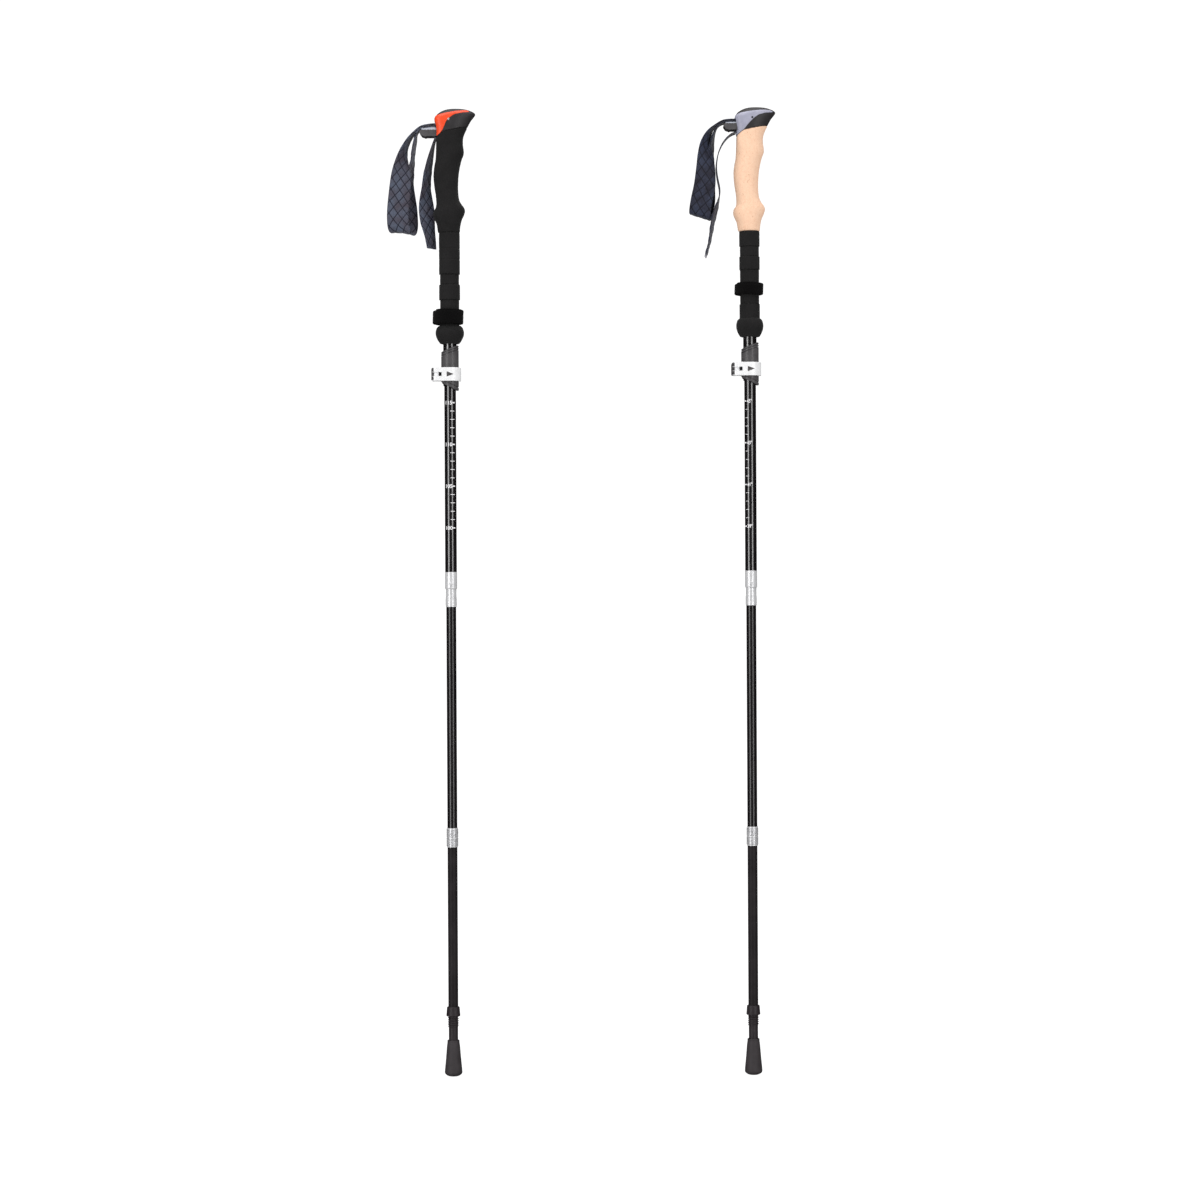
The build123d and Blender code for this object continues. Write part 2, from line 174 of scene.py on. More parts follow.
def cut(item, tool, operation="DIFFERENCE"):
    """Boolean with a tool object, which is then removed."""
    change = item.modifiers.new("cut", "BOOLEAN")
    change.operation, change.object, change.solver = operation, tool, "EXACT"
    apply_all(item)
    bpy.data.objects.remove(tool)


def bevel(item, width, segments=2, angle=30):
    change = item.modifiers.new("edges", "BEVEL")
    change.width, change.segments = width * MM, segments
    change.limit_method, change.angle_limit = "ANGLE", math.radians(angle)
    apply_all(item)


def lathe(profile, segments=96, radius_at=None):
    """Rings about the pole axis from (radius, height) points."""
    rings = []
    for r, z in profile:
        ring = []
        for k in range(segments):
            angle = TAU * k / segments
            reach = r if radius_at is None else radius_at(r, z, angle)
            ring.append((reach * math.cos(angle), reach * math.sin(angle), z))
        rings.append(ring)
    return rings


def box_tool(x, y, z, axis_x):
    """A plain box used only to cut."""
    corners = [(a, b, c) for a in x for b in y for c in z]
    faces = [(0, 1, 3, 2), (4, 6, 7, 5), (0, 4, 5, 1), (2, 3, 7, 6), (0, 2, 6, 4), (1, 5, 7, 3)]
    return solid("tool", corners, faces, axis_x, None)


def prism(outline, y_low, y_high):
    """A solid with this outline in the XZ plane."""
    rings = [[(x, y, z) for x, z in outline] for y in (y_low, y_high)]
    return skin(rings, cap_first=True, cap_last=True)


def roughen(item, amount, scale, seed):
    """Moves each vertex along its normal by a little noise."""
    shift = Vector((seed * 3.7, seed * 1.3, seed * 5.1))
    normals = [n.vector.copy() for n in item.data.vertex_normals]
    moved = []
    for v, normal in zip(item.data.vertices, normals):
        moved.extend(v.co + normal * noise.noise(v.co * scale + shift) * amount * MM)
    item.data.vertices.foreach_set("co", moved)
    item.data.update()


# ------------------------------------------------------------------ materials
class Paint:
    """A Principled material with short calls for its patterns."""

    def __init__(self, name, **settings):
        self.material = bpy.data.materials.new(name)
        self.material.use_nodes = True
        self.tree = self.material.node_tree
        self.shader = self.tree.nodes["Principled BSDF"]
        coordinates = self.tree.nodes.new("ShaderNodeTexCoord")
        self.place, self.strip = coordinates.outputs["Object"], coordinates.outputs["UV"]
        self.set(**settings)

    def set(self, **settings):
        for key, value in settings.items():
            self.fill(self.shader.inputs[key.replace("_", " ")], value)

    def fill(self, socket, value):
        if isinstance(value, bpy.types.NodeSocket):
            self.tree.links.new(value, socket)
        elif isinstance(value, tuple) and len(value) == 3 and socket.type == "RGBA":
            socket.default_value = (*value, 1)
        else:
            socket.default_value = value

    def node(self, kind, *values, **settings):
        made = self.tree.nodes.new("ShaderNode" + kind)
        for key, value in settings.items():
            setattr(made, key, value)
        for socket, value in zip(made.inputs, values):
            if value is not None:
                self.fill(socket, value)
        return made

    def stretch(self, vector, scale):
        return self.node("Mapping", vector, None, None, scale).outputs[0]

    def noise(self, vector, scale, detail=3.0, rough=0.55):
        made = self.node("TexNoise")
        for key, value in (("Vector", vector), ("Scale", scale), ("Detail", detail), ("Roughness", rough)):
            self.fill(made.inputs[key], value)
        return made.outputs[0]

    def cells(self, vector, scale, feature="F1", output="Distance"):
        made = self.node("TexVoronoi", feature=feature)
        self.fill(made.inputs["Vector"], vector)
        self.fill(made.inputs["Scale"], scale)
        return made.outputs[output]

    def ramp(self, value, *stops):
        """Stops are (place, grey or colour)."""
        made = self.node("ValToRGB", value)
        elements = made.color_ramp.elements
        while len(elements) < len(stops):
            elements.new(0.5)
        for element, (where, colour) in zip(elements, stops):
            element.position = where
            element.color = (*colour, 1) if isinstance(colour, tuple) else (colour, colour, colour, 1)
        return made.outputs[0]

    def math(self, operation, a, b=0.0):
        return self.node("Math", a, b, operation=operation).outputs[0]

    def mix(self, factor, a, b, blend="MIX"):
        made = self.tree.nodes.new("ShaderNodeMix")
        made.data_type, made.blend_type = "RGBA", blend
        for index, value in ((0, factor), (6, a), (7, b)):
            self.fill(made.inputs[index], value)
        return made.outputs[2]

    def split(self, vector):
        return self.node("SeparateXYZ", vector).outputs

    def bump(self, height, distance, strength=1.0, normal=None):
        made = self.node("Bump")
        for key, value in (("Height", height), ("Distance", distance), ("Strength", strength)):
            self.fill(made.inputs[key], value)
        if normal is not None:
            self.fill(made.inputs["Normal"], normal)
        return made.outputs[0]


def tube_paint(name, ior, rough_low, rough_high, paler=1.0):
    """Black anodised drawn tube: fine lengthwise draw lines and a few dust specks."""
    p = Paint(name, IOR=ior)
    lines = p.noise(p.stretch(p.place, (1, 1, 0.01)), 2600, 3)
    cloud = p.noise(p.place, 55, 4)
    tones = (0.0065, 0.005, 0.0058), (0.011, 0.0088, 0.0100)
    dark, light = (tuple(c * paler for c in tone) for tone in tones)
    p.set(Base_Color=p.ramp(cloud, (0.3, dark), (0.7, light)),
          Roughness=p.ramp(p.mix(0.45, lines, cloud), (0.3, rough_low), (0.7, rough_high)),
          Normal=p.bump(lines, 0.000001, 0.06))
    return p.material


def turned_metal(name, colour, rough, line_depth=0.000003, metallic=1.0):
    """Machined aluminium: rings from the lathe and a soft cloud of handling marks."""
    p = Paint(name, Metallic=metallic)
    rings = p.noise(p.stretch(p.place, (0.02, 0.02, 1)), 4200, 2)
    cloud = p.noise(p.place, 160, 4)
    dark = tuple(c * 0.92 for c in colour)
    p.set(Base_Color=p.ramp(cloud, (0.32, dark), (0.62, colour)),
          Roughness=p.ramp(p.mix(0.5, rings, cloud), (0.3, rough * 0.85), (0.75, rough * 1.2)),
          Normal=p.bump(rings, line_depth, 0.5))
    return p.material


def moulded(name, colour, rough, grain=1500, depth=0.00003, cloud_share=0.16, **settings):
    """Moulded plastic or rubber with a spark-eroded grain."""
    p = Paint(name, **settings)
    cloud = p.noise(p.place, 110, 5)
    fine = p.noise(p.place, grain, 2)
    low = tuple(c * (1 - cloud_share) for c in colour)
    high = tuple(min(1.0, c * (1 + cloud_share)) for c in colour)
    p.set(Base_Color=p.ramp(cloud, (0.3, low), (0.7, high)),
          Roughness=p.ramp(p.mix(0.5, fine, cloud), (0.3, rough * 0.85), (0.7, min(1.0, rough * 1.15))),
          Normal=p.bump(fine, depth, 0.6))
    return p.material


def foam_paint():
    """Closed-cell foam: pores of two sizes, pits darkened with painted shade, and paler rubbed specks."""
    p = Paint("foam", Roughness=0.88, Sheen_Weight=0.06, Sheen_Roughness=0.5, Specular_IOR_Level=0.4)
    pores = p.ramp(p.cells(p.place, 1500), (0.08, 0.0), (0.34, 1.0))
    pits = p.ramp(p.noise(p.place, 520, 2), (0.34, 0.0), (0.46, 1.0))
    cloud = p.noise(p.place, 70, 5)
    speck = p.ramp(p.noise(p.place, 1900, 1), (0.62, 0.0), (0.74, 1.0))
    tone = p.ramp(cloud, (0.25, (0.0075, 0.0068, 0.0070)), (0.75, (0.0150, 0.0137, 0.0141)))
    tone = p.mix(p.math("MULTIPLY", speck, 0.5), tone, (0.04, 0.037, 0.037))
    # the pits get a darker base colour: painted shade in the pits
    p.set(Base_Color=p.mix(p.math("MULTIPLY", pits, 0.35), p.mix(0.6, tone, (0.006, 0.006, 0.006)), tone),
          Normal=p.bump(pits, 0.00012, 0.55, p.bump(pores, 0.00006, 0.6)))
    return p.material


def cork_paint():
    """Pressed cork granules with darker bark flecks and open pits."""
    p = Paint("cork", Specular_IOR_Level=0.18)
    warped = p.mix(0.012, p.place, p.node("TexNoise", p.place, None, 260.0).outputs["Color"], "LINEAR_LIGHT")
    grain = p.cells(warped, 420, output="Color")
    tint = p.split(grain)[0]
    edge = p.ramp(p.cells(warped, 420, "DISTANCE_TO_EDGE"), (0.0, 0.0), (0.07, 1.0))
    cloud = p.noise(p.place, 60, 4)
    tone = p.ramp(tint, (0.0, (0.90, 0.56, 0.375)), (0.35, (0.97, 0.645, 0.45)), (1.0, (0.99, 0.69, 0.50)))
    tone = p.mix(p.math("MULTIPLY", cloud, 0.30), tone, (0.95, 0.60, 0.42))
    tone = p.mix(p.math("MULTIPLY", p.math("SUBTRACT", 1.0, edge), 0.14), tone, (0.72, 0.42, 0.25))
    fleck = p.ramp(p.noise(p.place, 330, 3, 0.6), (0.655, 0.0), (0.70, 1.0))
    tone = p.mix(p.math("MULTIPLY", fleck, 0.5), tone, (0.62, 0.30, 0.15))
    streak = p.ramp(p.noise(p.stretch(p.place, (1, 1, 0.16)), 420, 2), (0.60, 0.0), (0.72, 1.0))
    tone = p.mix(p.math("MULTIPLY", streak, 0.16), tone, (0.70, 0.40, 0.24))
    height = p.math("SUBTRACT", p.math("MULTIPLY", edge, 0.5), fleck)
    p.set(Base_Color=tone, Roughness=p.ramp(cloud, (0.3, 0.58), (0.7, 0.74)),
          Normal=p.bump(height, 0.00012, 0.5, p.bump(p.noise(p.place, 1800, 2), 0.00004, 0.5)))
    return p.material


def webbing_paint(name, light, dark, seam, pale_end):
    """Woven webbing. UV runs along (U) and across (V) in centimetres."""
    p = Paint(name, Roughness=0.62, Sheen_Weight=0.35, Sheen_Roughness=0.4, Specular_IOR_Level=0.35)
    u, v, _ = p.split(p.strip)
    warp = p.math("SINE", p.math("MULTIPLY", v, TAU * 9))
    weft = p.math("SINE", p.math("ADD", p.math("MULTIPLY", u, TAU * 11), p.math("MULTIPLY", v, TAU * 4.5)))
    weave = p.math("MULTIPLY", warp, weft)
    lines = None
    for sign in (1, -1):
        place = p.math("ADD", p.math("MULTIPLY", u, 10 / 14.0), p.math("MULTIPLY", v, sign * 10 / 10.6))
        near = p.math("ABSOLUTE", p.math("SUBTRACT", p.math("FRACT", place), 0.5))
        line = p.ramp(near, (0.0, 1.0), (0.04, 0.9), (0.085, 0.0))
        lines = line if lines is None else p.math("MAXIMUM", lines, line)
    cloud = p.noise(p.place, 65, 4)
    tone = p.mix(p.ramp(cloud, (0.38, 0.0), (0.62, 1.0)), dark, light)
    yarn = p.ramp(p.noise(p.stretch(p.strip, (2, 40, 1)), 3.0, 2), (0.35, 0.72), (0.65, 1.25))
    tone = p.mix(1.0, tone, yarn, "MULTIPLY")
    tone = p.mix(1.0, tone, p.ramp(weave, (0.0, 0.68), (0.6, 1.15)), "MULTIPLY")
    tone = p.mix(lines, tone, seam)
    if pale_end:
        frayed = p.ramp(p.split(p.place)[2], (0.9795, 1.0), (0.9835, 0.0))
        tone = p.mix(frayed, tone, (0.62, 0.60, 0.68))
    height = p.math("SUBTRACT", p.math("MULTIPLY", weave, 0.3), lines)
    p.set(Base_Color=tone, Normal=p.bump(height, 0.00014, 0.6))
    return p.material


def loop_paint():
    """Brushed hook-and-loop: a dense fuzz of tiny loops."""
    p = Paint("hook_and_loop", Roughness=0.95, Sheen_Weight=0.03, Sheen_Roughness=0.6, Specular_IOR_Level=0.1)
    fuzz = p.noise(p.place, 1500, 4, 0.7)
    hooks = p.cells(p.place, 1100)
    p.set(Base_Color=p.ramp(p.mix(0.5, fuzz, hooks),
                            (0.3, (0.0006, 0.0005, 0.0006)), (0.75, (0.0040, 0.0034, 0.0037))),
          Normal=p.bump(p.mix(0.5, fuzz, hooks), 0.00025, 0.8))
    return p.material


def cord_paint():
    """Braided sheath: two hands of yarn crossing, with a pale tracer."""
    p = Paint("tension_cord", Roughness=0.7, Sheen_Weight=0.3)
    u, v, _ = p.split(p.strip)
    a = p.math("SINE", p.math("MULTIPLY", p.math("ADD", u, v), TAU * 4))
    b = p.math("SINE", p.math("MULTIPLY", p.math("SUBTRACT", u, v), TAU * 4))
    braid = p.math("MULTIPLY", a, b)
    p.set(Base_Color=p.ramp(braid, (0.0, (0.012, 0.012, 0.013)), (0.62, (0.05, 0.05, 0.052)),
                            (0.8, (0.55, 0.55, 0.56))),
          Normal=p.bump(braid, 0.0001, 0.6))
    return p.material


PAINT = {
    "anodised_black": tube_paint("anodised_black", 2.5, 0.19, 0.24),
    "anodised_satin": tube_paint("anodised_satin", 1.8, 0.22, 0.30),
    "anodised_matte": tube_paint("anodised_matte", 1.35, 0.45, 0.55, 2.0),
    "foam": foam_paint(),
    "cork": cork_paint(),
    "head_plastic": moulded("head_plastic", (0.033, 0.030, 0.032), 0.5, 1400, 0.00004),
    "accent_orange": moulded("accent_orange", (0.95, 0.078, 0.016), 0.36, 2600, 0.000012, 0.05),
    "accent_lavender": moulded("accent_lavender", (0.385, 0.385, 0.485), 0.4, 2200, 0.00002, 0.10),
    "steel": turned_metal("steel", (0.86, 0.86, 0.87), 0.28, metallic=0.6),
    "pin_dark": turned_metal("pin_dark", (0.03, 0.03, 0.03), 0.35),
    "webbing_left": webbing_paint(
        "webbing_left", (0.100, 0.118, 0.172), (0.078, 0.068, 0.094), (0.006, 0.006, 0.018), False),
    "webbing_right": webbing_paint(
        "webbing_right", (0.038, 0.048, 0.092), (0.021, 0.020, 0.039), (0.004, 0.004, 0.012), True),
    "hook_and_loop": loop_paint(),
    "lock_plastic": moulded("lock_plastic", (0.080, 0.076, 0.079), 0.36, 1300, 0.00002),
    "lever_metal": turned_metal("lever_metal", (0.99, 0.99, 1.0), 0.36, 0.000002, 0.08),
    "ribbed_aluminium": turned_metal("ribbed_aluminium", (0.95, 0.95, 0.97), 0.30, 0.000001, 0.62),
    "bright_aluminium": turned_metal("bright_aluminium", (0.95, 0.95, 0.965), 0.33, 0.000001, 0.42),
    "tension_cord": cord_paint(),
    "tip_plastic": moulded("tip_plastic", (0.028, 0.021, 0.0245), 0.48, 1700, 0.00003),
    "carbide": turned_metal("carbide", (0.3, 0.3, 0.31), 0.5, 0.00003),
    "foot_rubber": moulded("foot_rubber", (0.042, 0.035, 0.0385), 0.62, 1200, 0.00005),
    "print_white": moulded("print_white", (0.97, 0.96, 0.97), 0.5, 2600, 0.000004, 0.02),
    "print_grey": moulded("print_grey", (0.075, 0.068, 0.070), 0.5, 2600, 0.00001, 0.08),
    "wedge": moulded("wedge_plastic", (0.095, 0.091, 0.094), 0.3, 1600, 0.00002),
    # pale blue-grey pad on the wedge's top: painted highlight
    "wedge_highlight_cap": moulded("wedge_highlight_cap_plastic", (0.50, 0.53, 0.60), 0.25, 1600, 0.00001, 0.05),
}

# the finish of every CAD node that keeps its own mesh
KEPT = {
    "upper_tube": "anodised_black", "mid_tube": "anodised_black",
    "lock_bolt": "steel", "lever_pin": "lever_metal", "lock_lever": "lever_metal",
    "tube_stop": "tip_plastic", "upper_ferrule": "bright_aluminium", "tensioner_tube": "bright_aluminium",
    "button_spring": "steel", "snap_button": "bright_aluminium", "upper_nose_collar": "bright_aluminium",
    "upper_shank_tube": "anodised_satin", "lower_seat_collar": "bright_aluminium",
    "lower_nose_collar": "bright_aluminium", "lower_shank_tube": "anodised_matte", "carbide_tip": "carbide",
}


# ------------------------------------------------------------------ shapes shared by both poles
GRIP = [  # height, back x, front x, half width
    (1011.6, -13.5, 12.7, 12.8), (1017.5, -14.3, 13.1, 13.9), (1023, -15.4, 14.0, 14.8),
    (1027.5, -17.6, 15.3, 15.2), (1032.5, -19.2, 17.6, 15.5), (1037.5, -18.7, 19.0, 15.5),
    (1041.5, -16.2, 18.0, 15.1), (1046, -15.4, 14.8, 14.7), (1051, -15.5, 12.3, 14.3),
    (1058, -16.2, 11.2, 14.0), (1067, -17.6, 10.9, 14.0), (1079, -18.6, 11.5, 14.3),
    (1089, -17.9, 12.9, 14.7), (1099, -16.1, 15.3, 14.9), (1105.5, -15.6, 17.7, 15.0),
    (1110, -15.4, 17.9, 15.0), (1119, -15.0, 16.9, 14.8), (1128, -14.9, 18.0, 14.6),
    (1140, -16.2, 23.6, 15.4),
]
HEAD = [
    (1114, -15.2, 17.6, 14.9), (1120, -15.0, 17.0, 14.8), (1128, -14.9, 18.0, 14.6),
    (1134, -14.6, 20.4, 15.0), (1140, -15.4, 23.4, 15.4), (1146, -16.6, 26.8, 15.7),
    (1150, -16.0, 30.0, 15.4), (1153.4, -14.0, 31.9, 14.2), (1156, -10.8, 29.6, 12.0),
    (1158.2, -6.5, 24.6, 9.2), (1159.6, -1.5, 19.4, 6.0), (1160.15, 5.0, 13.0, 2.6), (1160.2, 9.0, 9.4, 0.1),
]
FLOOR_LINE = [(-40, 1107.6), (-7, 1131.6), (40, 1141.2)]
SEAM = 0.18           # gap between head and grip
SEAM_HIGH = 574.4     # height of the upper fold joint
SEAM_LOW = 286.3      # height of the lower fold joint
LEVER_LOW = 833.5     # underside of the left lock lever
GRIP_LOW = 1011.6     # where the grip meets the sleeve
GRIP_BORE = 8.02      # bore of grip and sleeve
GRIP_BORE_TOP = 1121.0
SLOT_REACH = (-30, 3.2), (-10.6, 10.6)   # x and y of the strap slot in the head
BARREL = (-15.9, -8.5)                   # axis of the lever's barrel
MID_TUBE_RADIUS = 7.0
PRINT_LIFT = 0.012                       # how far printing stands off its tube
LABEL_STEP, MARK_STEP = 50, 10           # spacing of the numbers and of the ticks
LABEL_HEIGHT, LABEL_COLUMNS, DASH_HALF = 4.6, 20, 0.75
THREAD_LOW, THREAD_HIGH, THREAD_CORE = 58.9, 71.9, 5.72


def section_point(table, s, theta, egg):
    """A point of the oval section at row s; the back is squarer beside the strap slot."""
    z, back, front, half = along(table, s)
    c, d = math.cos(theta), math.sin(theta)
    square = ease((z - 1100) / 22) * (1 - ease((z - 1147) / 8))
    power = 0.94 - 0.46 * square if c < 0 else 0.94
    cx = math.copysign(abs(c) ** power, c)
    dy = math.copysign(abs(d) ** power, d)
    return Vector(((back + front) / 2 + (front - back) / 2 * cx, half * dy * (1 - egg * c), z))


def grip_point(z, theta):
    s = 0.0
    for i, (low, high) in enumerate(zip(GRIP, GRIP[1:])):
        if z >= low[0]:
            s = i + clamp((z - low[0]) / (high[0] - low[0]))
    for _ in range(3):
        z_here = along(GRIP, s)[0]
        i = min(int(s), len(GRIP) - 2)
        s = clamp(s + (z - z_here) / (GRIP[i + 1][0] - GRIP[i][0]), 0, len(GRIP) - 1)
    return section_point(GRIP, s, theta, 0.04)


def head_point(s, theta):
    lift = ease((s - 2) / 5)
    return section_point(HEAD, s, theta, 0.04 + 0.13 * lift)


def head_normal(s, theta):
    du = head_point(s, theta + 0.01) - head_point(s, theta - 0.01)
    dv = head_point(min(s + 0.02, len(HEAD) - 1), theta) - head_point(max(s - 0.02, 0), theta)
    n = du.cross(dv)
    return n.normalized() if n.length > 1e-9 else Z_AXIS


def where_head(theta, level):
    """The row count s at which this column of the head crosses level(x)."""
    top = len(HEAD) - 1.02
    previous = 0.0
    for k in range(1, 161):
        s = top * k / 160
        p = head_point(s, theta)
        if p.z >= level(p.x):
            a, b = previous, s
            for _ in range(18):
                middle = (a + b) / 2
                q = head_point(middle, theta)
                a, b = (middle, b) if q.z < level(q.x) else (a, middle)
            return b
        previous = s
    return top


def ribbon(samples, thickness, columns, relief=None):
    """Flat webbing through samples of (centre, across, width, u); returns points, faces and UVs."""
    rings, marks = [], []
    for i, (centre, across, width, u) in enumerate(samples):
        ahead = samples[min(i + 1, len(samples) - 1)][0] - samples[max(i - 1, 0)][0]
        tangent = ahead.normalized()
        level = (across - tangent * across.dot(tangent)).normalized()
        normal = tangent.cross(level)
        ring, row = [], []
        for side in (1, -1):
            for j in range(columns + 1):
                v = side * (1 - 2 * j / columns)
                edge = 1 - abs(v)
                reach = min(1.0, 0.30 + 0.70 * math.sqrt(clamp(edge / 0.05)))
                depth = relief(u, v * width / 2) if relief else 0.0
                half = thickness / 2 * reach + depth * min(1.0, edge / 0.05)
                ring.append(centre + level * v * width / 2 + normal * side * half)
                row.append((u / 10, v * width / 20))
        rings.append(ring)
        marks.append(row)
    points, faces = skin(rings, cap_first=True, cap_last=True)
    flat = [m for row in marks for m in row]
    return points, faces, flat


def ribbon_piece(name, parts, axis_x, paint):
    """One object from several (points, faces, marks)."""
    points, faces, marks = [], [], []
    for part_points, part_faces, part_marks in parts:
        gather(points, faces, part_points, part_faces)
        marks += part_marks
    made = solid(name, points, faces, axis_x, paint, 60)
    layer = made.data.uv_layers.new(name="run")
    for loop in made.data.loops:
        layer.data[loop.index].uv = marks[loop.vertex_index]
    return made


def resampled(stations, step):
    """Evenly spaced (centre, across, width, u) along smooth webbing stations."""
    fine = []
    for k in range((len(stations) - 1) * 40 + 1):
        x, y, z, width, turn, lean = map(float, along(stations, k / 40))
        turn, lean = math.radians(turn), math.radians(lean)
        across = Vector((math.sin(turn) * math.cos(lean), math.cos(turn), -math.sin(turn) * math.sin(lean)))
        fine.append((Vector((x, y, z)), width, across))
    samples, travelled, due = [], 0.0, 0.0
    for i, (centre, width, across) in enumerate(fine):
        if i:
            travelled += (centre - fine[i - 1][0]).length
        if travelled >= due or i == len(fine) - 1:
            samples.append((centre, across, width, travelled))
            due = travelled + step
    return samples


DIAMOND = (14.0, 10.6)   # quilting pitch along and across the strap


def quilting(start, stop):
    """Relief of the diamond stitching between two distances along the strap."""
    def depth(u, v):
        strength = ease((u - start) / 15) * ease((stop - u) / 15)
        nearest = 1.0
        for sign in (1, -1):
            place = u / DIAMOND[0] + sign * v / DIAMOND[1]
            nearest = min(nearest, abs(place - math.floor(place) - 0.5))
        puff = ease(nearest / 0.30)
        return strength * (0.42 * puff - 0.12)
    return depth


LEFT = {
    "name": "left", "collar_top_rise": 0.0, "pin": "steel", "accent": "accent_orange",
    "grip": "foam", "webbing": "webbing_left",
    "slot": (1125.8, 1143.4), "wedge_out": -35.4, "highlight_cap_height": 3.0, "tail_plain": 24,
    "pin_shift": (0.7, -2.4),
    "accent_low": [(-14.3, 1126.4), (-9.2, 1130.2), (-6.6, 1133.6), (-4.6, 1138.2), (-2.4, 1143.4),
                   (1.4, 1148.6), (8.6, 1152.2), (17.6, 1154.3), (24, 1155.3)],
    "accent_high": [(-24, 1148.4), (-13.6, 1151.4), (-9.3, 1152.7), (1.2, 1154.7), (11.5, 1156.4),
                    (19.7, 1157.5), (24, 1157.5)],
    "accent_tip": 22.4,
    "sleeve": [(961.7, 12.5), (949.7, 11.4), (931.0, 12.5), (900.0, 11.4)], "fine": (992.4, 979.4),
    "bulb": [(13.2, 900.0), (15.9, 897.4), (17.25, 892.0), (16.7, 887.6), (14.2, 882.2), (11.3, 878.4)],
    "band": (901.2, 920.0), "band_reach": 18.5, "band_shift": -1.5,
    "loop": [
        (-13.0, 0, 1141.4, 20, 0, 0), (-24, 0, 1140.6, 20, 0, 0), (-33, 0, 1138.4, 20, 0, 0),
        (-40, -0.6, 1132.8, 20, 2, 0), (-47.4, -2, 1123.4, 20, 9, 4), (-53, -4.5, 1111, 20, 20, 8),
        (-55.8, -7, 1097, 21, 44, 10), (-57, -9, 1080, 24, 74, 11), (-58.6, -9.8, 1060, 26, 84, 10),
        (-60.8, -10, 1038, 26, 88, 8), (-60.8, -9.5, 1022.4, 26, 90, 8), (-59, -6.5, 1014.8, 26, 90, 8),
        (-55.6, 0, 1012.2, 26, 90, 8), (-52.4, 6.5, 1014.4, 26, 90, 8), (-50.9, 9.5, 1022.4, 26, 90, 5),
        (-51.6, 10, 1038, 26, 86, 0), (-51.8, 9.8, 1054, 24, 66, -4), (-50.6, 8.8, 1070, 22, 42, 0),
        (-47, 7, 1084, 20, 22, 0), (-44.2, 5, 1097, 20, 9, 0), (-42.8, 3.2, 1109, 20, 7, 0),
        (-40.6, 1.4, 1121, 20, 6, 0), (-38.4, 0, 1131.0, 20, 0, 0), (-32.8, 0, 1136.2, 20, 0, 0),
        (-24, 0, 1137.5, 20, 0, 0), (-13.0, 0, 1138.4, 20, 0, 0),
    ],
    "tail": [
        (-15.8, 0, 1125.2, 20, 0, 0), (-18.4, 0, 1117, 20, 4, 0), (-22.8, 0.5, 1098, 20, 17, 0),
        (-26, 1.6, 1081, 20, 25, 0), (-27.5, 3, 1066, 20, 30, 0), (-27.9, 4.2, 1054, 20, 46, 0),
        (-27.4, 5, 1040, 20, 64, 0), (-26.3, 5, 1026, 20, 58, 0), (-24.7, 4, 1015.6, 20, 45, 0),
        (-22.8, 2.8, 1005, 20, 36, 0), (-21.3, 2, 993, 20, 31, 0),
    ],
    "scale": {"labels": ("115", "110", "105", "100"), "top": 807.6, "text": (-5.1, 2.6),
              "dash": (3.0, 5.5), "tick": (0.4, 5.1), "tick_height": 0.75},
}
